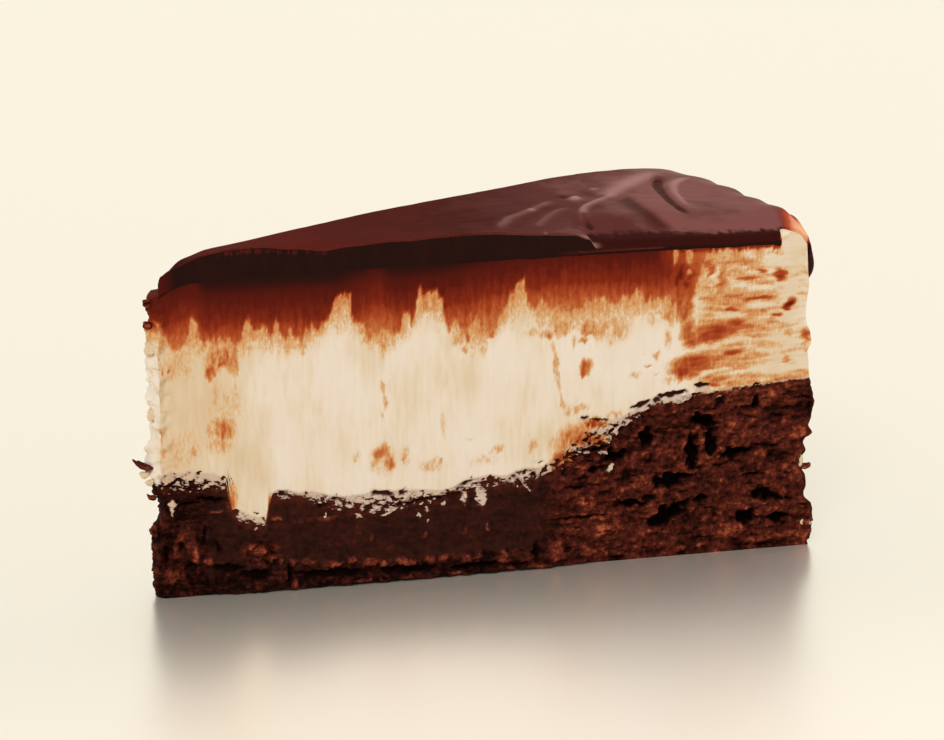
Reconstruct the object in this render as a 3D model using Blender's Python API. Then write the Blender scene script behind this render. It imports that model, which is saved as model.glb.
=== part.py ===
"""One slice of a cloud cake: a fallen chocolate base, a deep cream filling and a poured ganache top.

Metres, +Z up. The shown cut face looks along -Y, the point of the slice is at -X and its rim at +X.
Each layer is one closed solid that runs through the whole slice.
"""

import math

import bmesh
import bpy
import numpy as np
from mathutils import Matrix, Vector, noise

MM = 0.001

# Driving dimensions
CAKE_RADIUS = 127 * MM
CUT_ANGLE = math.radians(20.5)
POINT_WIDTH = 5 * MM
POINT_BULGE = 1.7 * MM
LAYER_GAP = 0.3 * MM
# The unevenness of the two ends fades out over this depth
END_DEPTH = 8 * MM

# Heights against the distance from the cake's centre, in millimetres.
# The base sank in the middle as it cooled, and a crack in its crust opened near the centre.
BASE_TOP = (
    (0, 23.2), (9.6, 22.6), (11.4, 22.0), (12.9, 16.4), (19.2, 13.6), (20.8, 19.2), (27, 18.6),
    (35, 16.2), (50, 16.2), (60, 18.0), (72, 19.2), (80, 23.4), (88, 27.4), (97, 32.0), (112, 33.8),
    (127, 35.0),
)
FILLING_TOP = ((0, 60.2), (5, 61.2), (15, 62.2), (110, 62.4), (121, 62.2), (125, 61.2), (127, 59.6))
TOPPING_TOP = (
    (0, 60.8), (2, 62.3), (5, 63.9), (10, 65.5), (16, 66.6), (24, 67.2), (48, 67.8), (64, 68.2),
    (84, 68.0), (100, 67.8), (110, 67.5), (117, 67.2), (122, 66.9), (125.4, 66.0), (127, 64.4),
)
# How much higher the topping stands at the back cut than at the middle, in millimetres
TOPPING_LEAN = (
    (0, -0.3), (8, -0.9), (20, -1.0), (34, -0.5), (50, -0.1), (64, 0.3), (80, 1.0), (100, 1.3),
    (115, 0.9), (127, 0.0),
)

# How far the rim and the point stand out beyond the plan outline, against the height, in millimetres
RIM_PROFILE = (
    (0, 1.8), (2, 2.4), (8, 2.2), (11, 0.8), (17, -0.3), (22, 0.5), (26, 1.0), (30, 1.8), (34, 0.8),
    (36, 0.0), (48, -0.5), (56, -0.7), (63, -1.0),
)
POINT_PROFILE = (
    (0, -0.2), (2, 0.1), (13, 0.2), (15, -1.0), (19.5, -1.2), (21, 0.4), (23.5, 0.6), (26, 1.0),
    (33, 0.2), (37, 0.8), (50, 0.6), (54, -0.4), (57, -0.4), (59, -1.2), (61, -2.4),
)

# The topping was drawn down over the shown cut edge from here to the rim
ROLL_START = 82.5 * MM
ROLL_BLEND = 3 * MM
ROLL_DEPTH = 1.7 * MM
ROLL_WIDTH = 12 * MM
EDGE_DEPTH = 1.4 * MM
EDGE_WIDTH = 1.8 * MM
CRISP_DEPTH = 0.3 * MM
CRISP_WIDTH = 0.7 * MM

# The topping starts a little behind the point, and hangs over the rim
TOPPING_SETBACK = 2.6 * MM
SKIN_THICKNESS = 1.2 * MM
SKIN_GAP = 0.4 * MM
SKIN_BULGE = 0.4 * MM
HANG_HEIGHT = 57 * MM
HANG_WAVES = (1.8 * MM, 11 * MM)
HANG_STEPS = 4

# The foot of the base is pressed out along the shown cut
FOOT_REACH = 1.9 * MM
FOOT_HEIGHT = 7 * MM
FOOT_RISE = (0, 18 * MM)
FOOT_FALL = (70 * MM, 96 * MM)

# Holes in the open crumb of the shown cut: distance along the cut, height, half length, half height,
# tilt in degrees and depth, in millimetres
CRUMB_HOLES = (
    (94.6, 24.6, 1.8, 2.2, 20, 2.0),
    (88.4, 21.4, 2.2, 1.6, 15, 2.0),
    (106.4, 27.4, 2.6, 1.7, -35, 2.2),
    (104.2, 21.4, 1.5, 4.2, 0, 2.4),
    (108.2, 22.6, 1.6, 3.0, 0, 2.0),
    (113.2, 20.4, 4.0, 1.2, 8, 1.8),
    (100.0, 16.0, 4.2, 1.6, 5, 2.2),
    (99.6, 8.6, 4.6, 1.8, 30, 2.4),
    (119.6, 11.0, 3.4, 1.5, -18, 1.8),
    (115.6, 6.4, 2.0, 1.8, -25, 2.2),
    (121.4, 5.8, 2.0, 1.1, 0, 1.4),
    (92.0, 11.4, 4.2, 1.0, -6, 1.5),
)
# The hidden cut has as many, spread over the thick part of the base
HIDDEN_HOLES = 14
HIDDEN_SEED = 7
HIDDEN_SPAN = (80, 122)
HIDDEN_LOWEST = 5
HIDDEN_DEPTH = 1.9

# Lumps of the surfaces: how far they stand out and how wide they are
RIM_LUMPS = (0.7 * MM, 5 * MM)
POINT_LUMPS = (0.6 * MM, 3 * MM)
CREAM_POINT_LUMPS = (0.5 * MM, 4 * MM)
BASE_CUT_LUMPS = (0.25 * MM, 4 * MM)
CREAM_CUT_LUMPS = (0.25 * MM, 9 * MM)
SPATULA_WAVES = (0.45 * MM, 17 * MM)
WAVES_RISE = (10 * MM, 40 * MM)
WAVES_FALL = (118 * MM, CAKE_RADIUS)

# Grid of each solid: columns along the cut in millimetres, rows across and levels up as fractions
COLUMNS = (
    [0, 0.8, 2, 3.6, 5.6, 8, 10, 11.4, 12.9, 15, 17.2, 19.2, 20.8, 23]
    + [26 + 3.2 * step for step in range(16)]
    + [76 + 1.9 * step for step in range(25)]
    + [123.2, 124.6, 125.9, 127]
)
ROWS = (0, 0.04, 0.14, 0.38, 0.62, 0.86, 0.96, 1)
EDGE_SHARE = 0.001
BASE_LEVELS = (0, 0.03, 0.1, 0.18, 0.26, 0.35, 0.44, 0.53, 0.62, 0.71, 0.8, 0.91, 1)
FILLING_LEVELS = (0, 0.08, 0.24, 0.42, 0.6, 0.78, 0.92, 1)
TOPPING_LEVELS = (0, 0.5, 1)

MATERIALS = {
    "brownie_base": ((0.060, 0.018, 0.011), 0.85),
    "cream_filling": ((0.78, 0.66, 0.50), 0.50),
    "ganache_topping": ((0.085, 0.030, 0.024), 0.32),
}


def smooth_outline(points, at):
    """Height of a smooth outline through the points, with no overshoot between them."""
    places = [point[0] for point in points]
    index = min(max(int(np.searchsorted(places, at)) - 1, 0), len(points) - 2)
    x0, z0 = points[index]
    x1, z1 = points[index + 1]
    share = min(max((at - x0) / (x1 - x0), 0.0), 1.0)
    slope = (z1 - z0) / (x1 - x0)
    before = slope if index == 0 else (z0 - points[index - 1][1]) / (x0 - points[index - 1][0])
    after = slope if index == len(points) - 2 else (points[index + 2][1] - z1) / (points[index + 2][0] - x1)
    start = 0.0 if before * slope <= 0 else 2 * before * slope / (before + slope)
    end = 0.0 if after * slope <= 0 else 2 * after * slope / (after + slope)
    width = x1 - x0
    return (
        (2 * share**3 - 3 * share**2 + 1) * z0
        + (share**3 - 2 * share**2 + share) * width * start
        + (3 * share**2 - 2 * share**3) * z1
        + (share**3 - share**2) * width * end
    )


def outline_at(points, metres):
    return smooth_outline(points, metres / MM) * MM


def smooth_step(low, high, value):
    share = min(max((value - low) / (high - low), 0.0), 1.0)
    return share * share * (3 - 2 * share)


def rough(place, lumps, seed):
    """Smooth noise in metres, for lumps of a height and a width."""
    height, width = lumps
    return height * noise.noise(Vector(place) / width + Vector((seed * 13.7, seed * 5.1, seed * 9.3)))


def plan_point(along, across, point_out, rim_out):
    """Place in plan, from the distance along the cut and the fraction across from the shown cut.

    The point and the rim stand out by the last two values, which fade out inside the slice.
    """
    apex = POINT_WIDTH / math.tan(CUT_ANGLE)
    angle = across * CUT_ANGLE
    crown = math.sqrt(max(0.0, 1 - (2 * across - 1) ** 2))
    near = apex - POINT_BULGE * crown
    far = apex * math.cos(angle) + math.sqrt(CAKE_RADIUS**2 - (apex * math.sin(angle)) ** 2)
    reach = near + (far - near) * along / CAKE_RADIUS
    reach -= point_out * (0.35 + 0.65 * crown) * (1 - smooth_step(0, END_DEPTH, along))
    reach += rim_out * smooth_step(CAKE_RADIUS - END_DEPTH, CAKE_RADIUS, along)
    return reach * math.cos(angle) - apex, reach * math.sin(angle)


def foot_out(along, height):
    """How far the foot of the base stands out from the shown cut."""
    span = smooth_step(*FOOT_RISE, along) * (1 - smooth_step(*FOOT_FALL, along))
    return FOOT_REACH * span * (1 - smooth_step(0, FOOT_HEIGHT, height))


def hidden_cut_holes():
    """Holes in the crumb of the hidden cut, spread over its thick part."""
    generator = np.random.default_rng(HIDDEN_SEED)
    start, end = HIDDEN_SPAN
    holes = []
    for index in range(HIDDEN_HOLES):
        along = start + (end - start) * (index + 0.5) / HIDDEN_HOLES
        height = generator.uniform(HIDDEN_LOWEST, smooth_outline(BASE_TOP, along) - HIDDEN_LOWEST)
        half_length, half_height = generator.uniform(1.6, 4), generator.uniform(1, 2)
        holes.append((along, height, half_length, half_height, generator.uniform(-30, 30), HIDDEN_DEPTH))
    return holes


def hole_depth(holes, along, height):
    """Depth of the holes at a place on a cut face."""
    depth = 0.0
    for centre, level, half_length, half_height, tilt, deep in holes:
        turn = math.radians(tilt)
        dx = along / MM - centre
        dz = height / MM - level
        run = (dx * math.cos(turn) + dz * math.sin(turn)) / half_length
        rise = (dz * math.cos(turn) - dx * math.sin(turn)) / half_height
        depth = max(depth, deep * (1 - smooth_step(0.5, 1.4, math.hypot(run, rise))))
    return depth * MM


def base_top(radius):
    return outline_at(BASE_TOP, radius)


def filling_bottom(radius):
    """The base's top with a gap of the same width on slopes as on the level."""
    step = LAYER_GAP
    slope = (base_top(radius + step) - base_top(radius - step)) / (2 * step)
    return base_top(radius) + LAYER_GAP * math.sqrt(1 + slope**2)


def filling_top(radius):
    return outline_at(FILLING_TOP, radius)


def topping_top(x, y, across):
    """The spread surface: a low dome, lower along the shown cut, with soft waves from the spatula."""
    radius = math.hypot(x, y)
    height = outline_at(TOPPING_TOP, radius)
    height += outline_at(TOPPING_LEAN, radius) * (2 * across - 1)
    spread = smooth_step(*WAVES_RISE, radius) * (1 - smooth_step(*WAVES_FALL, radius))
    height += spread * rough((x, y, 0), SPATULA_WAVES, 1)
    rolled = smooth_step(ROLL_START, ROLL_START + ROLL_BLEND, x)
    height -= ROLL_DEPTH * rolled * (1 - smooth_step(0, ROLL_WIDTH, y))
    height -= EDGE_DEPTH * rolled * (1 - smooth_step(0, EDGE_WIDTH, y))
    height -= CRISP_DEPTH * (1 - rolled) * (1 - smooth_step(0, CRISP_WIDTH, y))
    return height


def gridded_block(columns, rows, levels):
    """A unit cube, cut into a grid by planes along each axis."""
    block = bmesh.new()
    bmesh.ops.create_cube(block, size=1.0, matrix=Matrix.Translation((0.5, 0.5, 0.5)))
    for axis, cuts in zip((Vector((1, 0, 0)), Vector((0, 1, 0)), Vector((0, 0, 1))), (columns, rows, levels)):
        for cut in cuts[1:-1]:
            everything = block.verts[:] + block.edges[:] + block.faces[:]
            bmesh.ops.bisect_plane(block, geom=everything, dist=1e-7, plane_co=axis * cut, plane_no=axis)
    return block


def finish_layer(block, place, name, collection):
    """Move each point of the cut cube to its place in the slice, and make the object."""
    for point in block.verts:
        point.co = Vector(place(*point.co))
    bmesh.ops.triangulate(block, faces=block.faces[:], quad_method="SHORT_EDGE")
    bmesh.ops.recalc_face_normals(block, faces=block.faces[:])
    mesh = bpy.data.meshes.new(name)
    block.to_mesh(mesh)
    block.free()
    layer = bpy.data.objects.new(name, mesh)
    collection.objects.link(layer)
    material = bpy.data.materials.new(name)
    material.use_nodes = True
    colour, roughness = MATERIALS[name]
    surface = material.node_tree.nodes["Principled BSDF"]
    surface.inputs["Base Color"].default_value = (*colour, 1)
    surface.inputs["Roughness"].default_value = roughness
    surface.inputs["Metallic"].default_value = 0
    mesh.materials.append(material)
    return layer


def along_of(fraction, columns):
    """Distance along the cut of a column that sits evenly spaced in the unit cube."""
    return float(np.interp(fraction * (len(columns) - 1), range(len(columns)), columns)) * MM


def even_cuts(count):
    return [index / (count - 1) for index in range(count)]


def cut_relief(x, y, z, across, depth_front, depth_back, lumps, seed):
    """Move a point of a cut face in by its depth, and in or out by a little roughness."""
    if across < EDGE_SHARE:
        y += depth_front + rough((x, 0, z), lumps, seed)
    elif across > 1 - EDGE_SHARE:
        inward = depth_back + rough((x, CAKE_RADIUS, z), lumps, seed)
        x += inward * math.sin(CUT_ANGLE)
        y -= inward * math.cos(CUT_ANGLE)
    return x, y


def make_base(collection):
    back_holes = hidden_cut_holes()

    def place(u, across, level):
        along = along_of(u, COLUMNS)
        plain_x, plain_y = plan_point(along, across, 0, 0)
        height = level * base_top(math.hypot(plain_x, plain_y))
        sunk = math.sin(math.pi * level)
        rim_out = outline_at(RIM_PROFILE, height) + sunk * rough((plain_x, plain_y, height), RIM_LUMPS, 2)
        point_out = outline_at(POINT_PROFILE, height) + sunk * rough((0, plain_y, height), POINT_LUMPS, 3)
        x, y = plan_point(along, across, point_out, rim_out)
        front = hole_depth(CRUMB_HOLES, along, height) - foot_out(along, height)
        back = hole_depth(back_holes, along, height)
        x, y = cut_relief(x, y, height, across, front, back, BASE_CUT_LUMPS, 4)
        return x, y, height

    block = gridded_block(even_cuts(len(COLUMNS)), ROWS, BASE_LEVELS)
    return finish_layer(block, place, "brownie_base", collection)


def make_filling(collection):
    def place(u, across, level):
        along = along_of(u, COLUMNS)
        plain_x, plain_y = plan_point(along, across, 0, 0)
        radius = math.hypot(plain_x, plain_y)
        bottom = filling_bottom(radius)
        height = bottom + level * (filling_top(radius) - bottom)
        rim_out = outline_at(RIM_PROFILE, height)
        point_out = outline_at(POINT_PROFILE, height) + rough((0, plain_y, height), CREAM_POINT_LUMPS, 5)
        x, y = plan_point(along, across, point_out, rim_out)
        x, y = cut_relief(x, y, height, across, 0, 0, CREAM_CUT_LUMPS, 6)
        return x, y, height

    block = gridded_block(even_cuts(len(COLUMNS)), ROWS, FILLING_LEVELS)
    return finish_layer(block, place, "cream_filling", collection)


def make_topping(collection):
    inner_radius = CAKE_RADIUS + outline_at(RIM_PROFILE, HANG_HEIGHT) + SKIN_GAP
    columns = COLUMNS[:-1] + [127 + step for step in range(HANG_STEPS + 1)]

    def place(u, across, level):
        along = along_of(u, columns)
        hang = max(0.0, along - CAKE_RADIUS) / (HANG_STEPS * MM)
        along = TOPPING_SETBACK + min(along, CAKE_RADIUS) * (1 - TOPPING_SETBACK / CAKE_RADIUS)
        bottom_x, bottom_y = plan_point(along, across, 0, inner_radius - CAKE_RADIUS)
        bottom = filling_top(math.hypot(bottom_x, bottom_y)) + LAYER_GAP
        top_x, top_y = plan_point(along, across, 0, 0.3 * MM)
        top = topping_top(top_x, top_y, across)
        if hang > 0:
            edge = HANG_HEIGHT + rough((bottom_x, bottom_y, 0), HANG_WAVES, 8)
            bulge = SKIN_BULGE * math.sin(math.pi * (0.25 + 0.75 * hang))
            skin = inner_radius + SKIN_THICKNESS - CAKE_RADIUS + bulge
            top_x, top_y = plan_point(along, across, 0, skin)
            top += (edge - top) * hang
            bottom += (edge - bottom) * hang
        x = bottom_x + level * (top_x - bottom_x)
        y = bottom_y + level * (top_y - bottom_y)
        height = bottom + level * (top - bottom)
        return x, y, height

    block = gridded_block(even_cuts(len(columns)), ROWS, TOPPING_LEVELS)
    return finish_layer(block, place, "ganache_topping", collection)


def centre_on_floor(layers):
    """Put the middle of the slice's box over the origin, and its foot on the floor."""
    places = np.array([point.co for layer in layers for point in layer.data.vertices])
    low = places.min(axis=0)
    high = places.max(axis=0)
    shift = Vector((-(low[0] + high[0]) / 2, -(low[1] + high[1]) / 2, -low[2]))
    for layer in layers:
        layer.data.transform(Matrix.Translation(shift))
    print("shift", [round(value / MM, 3) for value in shift], "size", [round(v / MM, 3) for v in high - low])


def main():
    for leftover in list(bpy.data.objects):
        bpy.data.objects.remove(leftover)
    collection = bpy.data.collections.new("cloud_cake_slice")
    bpy.context.scene.collection.children.link(collection)
    layers = [make_base(collection), make_filling(collection), make_topping(collection)]
    centre_on_floor(layers)


main()
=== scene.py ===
"""The looks of one slice of cloud cake: a fallen chocolate base, a deep cream filling and a ganache top.

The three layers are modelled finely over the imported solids. Lengths named in millimetres are measured from
the cake's centre: along the shown cut, away from it, and up from the floor.
"""

import math

import bpy
import numpy as np
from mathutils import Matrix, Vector, noise


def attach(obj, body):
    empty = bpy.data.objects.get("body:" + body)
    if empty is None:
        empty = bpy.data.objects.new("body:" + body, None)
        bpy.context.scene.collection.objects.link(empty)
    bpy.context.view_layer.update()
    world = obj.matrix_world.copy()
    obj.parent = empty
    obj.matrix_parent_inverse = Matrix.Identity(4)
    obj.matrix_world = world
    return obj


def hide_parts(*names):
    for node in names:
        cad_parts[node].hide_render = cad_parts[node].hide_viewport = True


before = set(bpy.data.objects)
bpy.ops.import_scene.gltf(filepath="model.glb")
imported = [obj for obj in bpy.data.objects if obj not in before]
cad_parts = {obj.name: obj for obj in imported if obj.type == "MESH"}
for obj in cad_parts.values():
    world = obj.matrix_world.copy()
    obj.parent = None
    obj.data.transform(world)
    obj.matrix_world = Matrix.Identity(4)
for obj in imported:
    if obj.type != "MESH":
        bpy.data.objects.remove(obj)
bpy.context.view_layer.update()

MM = 0.001
# The cake's centre in the frame, in millimetres: the slice's box is centred over the frame's origin
CENTRE = np.array((-63.21, -23.833, 0.0))
# A place this near to an edge of its grid lies on it, and two places this near in the unit cube are one
TOUCH = 1e-3
SAME_PLACE = 1e-4

# The slice in plan, in millimetres, as in the part's source: its blunt point, and how far from either end
# the rim's and the point's own outlines are felt
CAKE_RADIUS = 127
CUT_ANGLE = math.radians(20.5)
POINT_WIDTH = 5
POINT_BULGE = 1.7
END_DEPTH = 8
# Heights of the layers' tops against the distance from the cake's centre. They follow the part's source,
# more finely at the point.
BASE_TOP = (
    (0, 23.2), (9.6, 22.6), (12.0, 21.9), (13.3, 16.2), (19.2, 13.6), (20.8, 19.2), (27, 18.6),
    (35, 16.2), (50, 16.2), (60, 18.0), (72, 19.2), (80, 23.4), (88, 27.4), (97, 32.0), (112, 33.8),
    (127, 35.0),
)
FILLING_TOP = (
    (0, 58.8), (1.5, 60.2), (5, 61.2), (15, 62.2), (110, 62.4), (121, 62.2), (125, 61.2), (127, 59.6),
)
TOPPING_TOP = (
    (0, 60.2), (0.4, 61.2), (1.0, 61.9), (2.5, 63.2), (5.1, 64.2), (8.4, 65.6), (11, 66.2), (14, 66.8),
    (18.6, 67.0), (24, 67.1), (48, 67.8), (64, 68.2), (84, 68.0), (100, 67.8), (110, 67.5), (117, 67.2),
    (122, 66.9), (125.4, 66.0), (127, 64.4),
)
# How much higher the topping stands at the hidden cut than midway, and lower at the shown cut
TOPPING_LEAN = (
    (0, -0.8), (2.5, -1.2), (8, -1.3), (14, -1.1), (20, -1.0), (34, -0.5), (50, -0.1), (64, 0.3),
    (80, 1.0), (100, 1.3), (115, 0.9), (127, 0.0),
)
# Height of the base at the rim
BASE_HEIGHT = 35
# How far the rim stands out, against the height
RIM_PROFILE = (
    (0, 1.8), (2, 2.4), (8, 2.2), (11, 0.8), (17, -0.3), (22, 0.5), (26, 1.0), (30, 1.8), (34, 0.8),
    (36, 0.0), (48, -0.5), (56, -0.7), (63, -1.0),
)
# How far it stands out further near the shown cut, against the height: this follows the photo's outline
# row by row, and fades out over its reach
RIM_LUMPS = (
    (0, 0), (4, 0.2), (8.4, 0.5), (10.3, -0.3), (12.2, 0.3), (14.2, 0.7), (17.6, -0.4), (19.7, 0.4),
    (21.6, -0.4), (23.5, 1.3), (25.4, 0.3), (27.3, 0.4), (29.2, 0.5), (32, 0.3), (36, 0.6), (38.5, 0.6),
    (40.5, 0.4), (42.4, 1.2), (44.3, 1.0), (46.2, 0.3), (48, 0), (51, 0.2), (54, 0.6), (57, 0.4), (63, 0.2),
)
RIM_LUMP_REACH = 9
# How far the point stands out, against the height
POINT_PROFILE = (
    (0, -0.2), (2, 0.1), (13, 0.2), (15, -1.0), (19.5, -1.2), (21, 0.2), (23.5, 0.2), (26, 0.7),
    (33, -0.6), (37, -0.2), (50, -0.4), (54, -0.9), (57.5, -0.6), (58.8, -0.9), (60, -2.6), (61, -4.0),
)
# The foot of the base, pressed out of the shown cut
FOOT_REACH = 1.9
FOOT_HEIGHT = 7
FOOT_RISE = (0, 18)
FOOT_FALL = (70, 96)
# The topping's lower, rolled edge, which starts part of the way along the shown cut, its drop at the very
# edge, the lip before it, and the crisp edge before that
ROLL_START = 82.5
ROLL_BLEND = 1.6
ROLL_DEPTH = 1.7
ROLL_WIDTH = 12
EDGE_DEPTH = 1.4
EDGE_WIDTH = 1.3
LIP_LENGTH = 3
LIP_DEPTH = 0.9
LIP_WIDTH = 2.4
CRISP_DEPTH = 0.3
CRISP_WIDTH = 0.7
# How far the topping stands back from the point at the shown cut, how much further at the hidden one, and
# how far the tip's far side has fallen
TOPPING_SETBACK = 0.5
TOPPING_SLANT = 2.4
TIP_FALL = 1.9
TIP_LENGTH = 6
# Long waves and short ripples of the topping
WAVE_HEIGHT = 0.45
RIPPLE_HEIGHT = 0.05
# The skin of ganache that hangs over the rim, how low it reaches, and how much that wanders
SKIN_THICKNESS = 1.2
SKIN_GAP = 0.1
SKIN_BULGE = 0.4
HANG_HEIGHT = 57
HANG_LENGTH = 9
HANG_WANDER = 1.8
# How far the layers lap over each other, how far the cream is tucked in where it runs behind the base, and
# how far its top runs up into the topping
LAYER_LAP = 0.2
LAYER_TUCK = 0.2
FILLING_RAISE = 0.25
# Share of a wall's height above which its top may be raised
RAISE_START = 0.86

# How finely each layer is cut: columns along the cuts, rows round the rim and round the point, and levels,
# and for the topping columns, rows across and levels
BASE_GRID = (360, 110, 14, 100)
CREAM_GRID = (360, 100, 16, 110)
TOPPING_GRID = (372, 100, 10)

# Walls that meet at less than this many degrees are shaded as one
SMOOTH_ANGLE = 55

# Holes in the open crumb of the shown cut: distance along the cut, height, half length, half height,
# tilt in degrees and depth
CRUMB_HOLES = (
    (94.6, 24.6, 1.8, 2.2, 20, 2.2), (88.4, 21.4, 2.2, 1.6, 15, 2.2), (106.4, 27.4, 2.6, 1.7, -35, 2.4),
    (104.2, 21.4, 1.5, 4.2, 0, 2.6), (108.2, 22.6, 1.6, 3.0, 0, 2.0), (113.2, 20.4, 4.0, 1.2, 8, 2.0),
    (100.0, 16.0, 4.2, 1.6, 5, 2.2), (99.6, 8.6, 4.6, 1.8, 30, 2.6), (119.6, 11.0, 3.4, 1.5, -18, 2.0),
    (115.6, 6.4, 2.0, 1.8, -25, 2.4), (121.4, 5.8, 2.0, 1.1, 0, 1.6), (92.0, 11.4, 4.2, 1.0, -6, 1.7),
)
# Where the crumb is loose: towards the rim, near the point, at the foot, and in a cluster of the shown cut
LOOSE_START = (68, 84)
POINT_REACH = (5, 12)
LOOSE_FOOT = (3.4, 5.4)
LOOSE_CLUSTER = (18.5, 7.4, 4.5, 3.4, -20, 0.8)
# Crevices between the crumb and the cream, and small pits, in the same terms
CREVICES = (
    (42.2, 17.7, 2.6, 0.6, -10, 0.9), (46.3, 17.6, 1.1, 0.5, 20, 0.8), (50.0, 15.8, 5.5, 0.4, 5, 0.9),
    (56.3, 16.2, 1.8, 0.8, 5, 1.0), (58.8, 18.7, 1.4, 0.4, 20, 0.8), (61.4, 18.4, 1.2, 0.2, 0, 0.7),
    (69.5, 19.9, 1.2, 0.4, 5, 0.8), (72.0, 19.0, 0.9, 0.5, -20, 0.9), (68.0, 19.1, 0.5, 0.4, 0, 0.8),
    (33.0, 17.4, 1.7, 0.4, -4, 0.8), (30.6, 16.2, 1.2, 0.5, 0, 0.8), (22.6, 19.4, 1.0, 0.5, 10, 0.8),
    (24.0, 18.7, 0.8, 0.4, -20, 0.7), (82.2, 30.1, 1.1, 0.4, 8, 0.9), (85.2, 29.4, 2.3, 0.3, -8, 0.9),
    (83.4, 26.7, 1.7, 0.3, -12, 0.8), (84.6, 23.4, 2.9, 0.45, 2, 1.0), (80.6, 22.2, 0.9, 0.4, 15, 0.8),
    (93.4, 31.9, 2.3, 0.5, 18, 1.1), (99.8, 33.7, 3.4, 0.5, 6, 1.3), (105.6, 35.1, 1.7, 0.5, 2, 1.2),
    (96.6, 32.6, 0.9, 0.7, 0, 0.9), (89.6, 27.3, 0.9, 0.5, 30, 1.0), (84.2, 19.0, 1.3, 0.7, 0, 1.3),
    (82.2, 17.6, 1.3, 0.3, 0, 0.8), (81.0, 15.6, 2.4, 0.4, -4, 1.0), (81.0, 9.5, 5.4, 0.4, 1, 0.9),
    (95.6, 12.2, 1.6, 0.9, 10, 1.2), (106.2, 11.3, 2.0, 0.7, 5, 1.5), (117.2, 15.6, 2.6, 0.4, 4, 1.0),
    (123.8, 9.9, 1.0, 0.7, 0, 1.0), (117.1, 30.6, 0.9, 1.5, 0, 1.4), (109.4, 7.3, 0.8, 0.6, 0, 0.9),
    (109.6, 31.8, 1.2, 0.6, 20, 0.9), (113.0, 29.6, 0.5, 0.7, 0, 0.8), (121.6, 27.4, 1.6, 0.4, -8, 0.9),
    (116.4, 27.6, 1.0, 0.5, -10, 0.9), (126.0, 30.8, 1.1, 0.5, -10, 1.0), (2.0, 12.6, 0.9, 2.6, -20, 0.8),
    (3.8, 9.0, 0.8, 1.6, 15, 0.8), (0.6, 8.6, 0.5, 2.4, 0, 0.8), (5.4, 6.0, 1.6, 0.6, 0, 0.7),
    (12.2, 5.0, 3.4, 0.8, -6, 1.2), (23.8, 3.0, 0.6, 2.0, 0, 1.2), (47.6, 2.2, 7.0, 0.7, -2, 1.2),
    (32.6, 2.6, 7.0, 0.8, -2, 1.3), (72.6, 3.2, 0.9, 2.0, 0, 1.2), (79.0, 3.2, 1.6, 0.6, 10, 0.9),
    (17.6, 3.4, 3.4, 0.9, -4, 1.2), (60.4, 1.8, 6.0, 0.6, 0, 1.1), (7.6, 11.6, 0.5, 2.6, -12, 1.0),
    (10.4, 9.4, 0.4, 1.8, 18, 0.9), (68.6, 1.5, 3.0, 0.5, 0, 0.9),
    (9.0, 19.2, 3.4, 0.5, -8, 1.1), (5.2, 18.6, 2.6, 0.4, 10, 0.9), (103.0, 10.6, 0.9, 1.0, 60, 1.2),
)
# Bits of cream held in the base: distance along the cut, height, half length, half height and tilt
CREAM_BITS = (
    (1.5, 18.7, 0.9, 1.0, 0), (1.2, 16.8, 0.3, 1.2, 10), (58.2, 15.4, 0.7, 1.2, 0),
    (61.6, 15.6, 1.2, 2.2, 0), (87.4, 19.3, 0.8, 1.1, -20), (50.9, 13.8, 0.4, 0.5, 0),
    (49.4, 12.8, 0.4, 1.0, 20), (51.0, 11.6, 0.4, 0.4, 0), (37.4, 13.7, 1.1, 0.4, -30),
    (40.8, 14.6, 1.4, 0.6, 20), (43.6, 14.1, 1.8, 0.4, 25), (54.0, 14.8, 0.4, 0.6, 0),
    (70.6, 16.8, 1.6, 0.35, -45), (126.9, 4.8, 0.5, 0.7, 0), (100.6, 32.4, 3.4, 0.8, 6),
    (94.0, 31.1, 1.2, 0.5, -10), (105.8, 34.2, 1.4, 0.5, -4), (86.4, 25.8, 1.4, 1.2, 0),
    (109.4, 32.3, 0.6, 0.3, 0), (88.6, 26.6, 0.5, 0.5, 0), (31.0, 14.3, 0.3, 0.5, 0),
    (86.2, 22.6, 1.0, 0.5, -15),
)
# Bits of crumb and dark specks in the cream, in the same terms
CRUMB_BITS = (
    (3.4, 23.9, 0.5, 0.3, 0), (7.4, 25.1, 0.5, 0.2, 0), (11.4, 23.5, 0.4, 0.3, -30),
    (12.4, 22.6, 0.9, 0.8, 20), (5.5, 25.0, 0.3, 0.2, 0), (2.8, 24.6, 0.2, 0.6, 0),
    (63.4, 19.0, 0.8, 1.1, 0), (70.0, 20.0, 0.9, 0.3, 0), (73.6, 21.6, 1.0, 0.2, 0),
    (18.0, 15.8, 0.8, 0.25, -10), (13.4, 16.4, 1.2, 0.6, -10), (45.8, 18.1, 0.9, 0.3, 20),
    (86.6, 26.4, 0.5, 0.2, 10), (88.0, 25.8, 0.4, 0.3, 0), (80.2, 18.8, 0.8, 0.4, 0),
    (116.8, 34.4, 0.5, 0.3, 0),
)
# How far the cream and the crumb reach into each other, against the distance along the shown cut
CRACKLE_REACH = (
    (0, 2.4), (5, 2.8), (10, 2.4), (12, 1.4), (14.5, 1.6), (19, 1.8), (20.5, 0.7), (22, 1.4), (26, 0.8),
    (29, 1.6), (33, 2.0), (37, 2.4), (44, 2.8), (51, 2.2), (55, 1.0), (58, 1.8), (63, 2.2), (66, 1.4),
    (70, 2.4), (74, 1.6), (79, 3.2), (85, 3.6), (89, 2.2), (93, 1.3), (98, 0.8), (104, 0.7),
    (108, 0.5), (127, 0.3),
)

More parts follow.
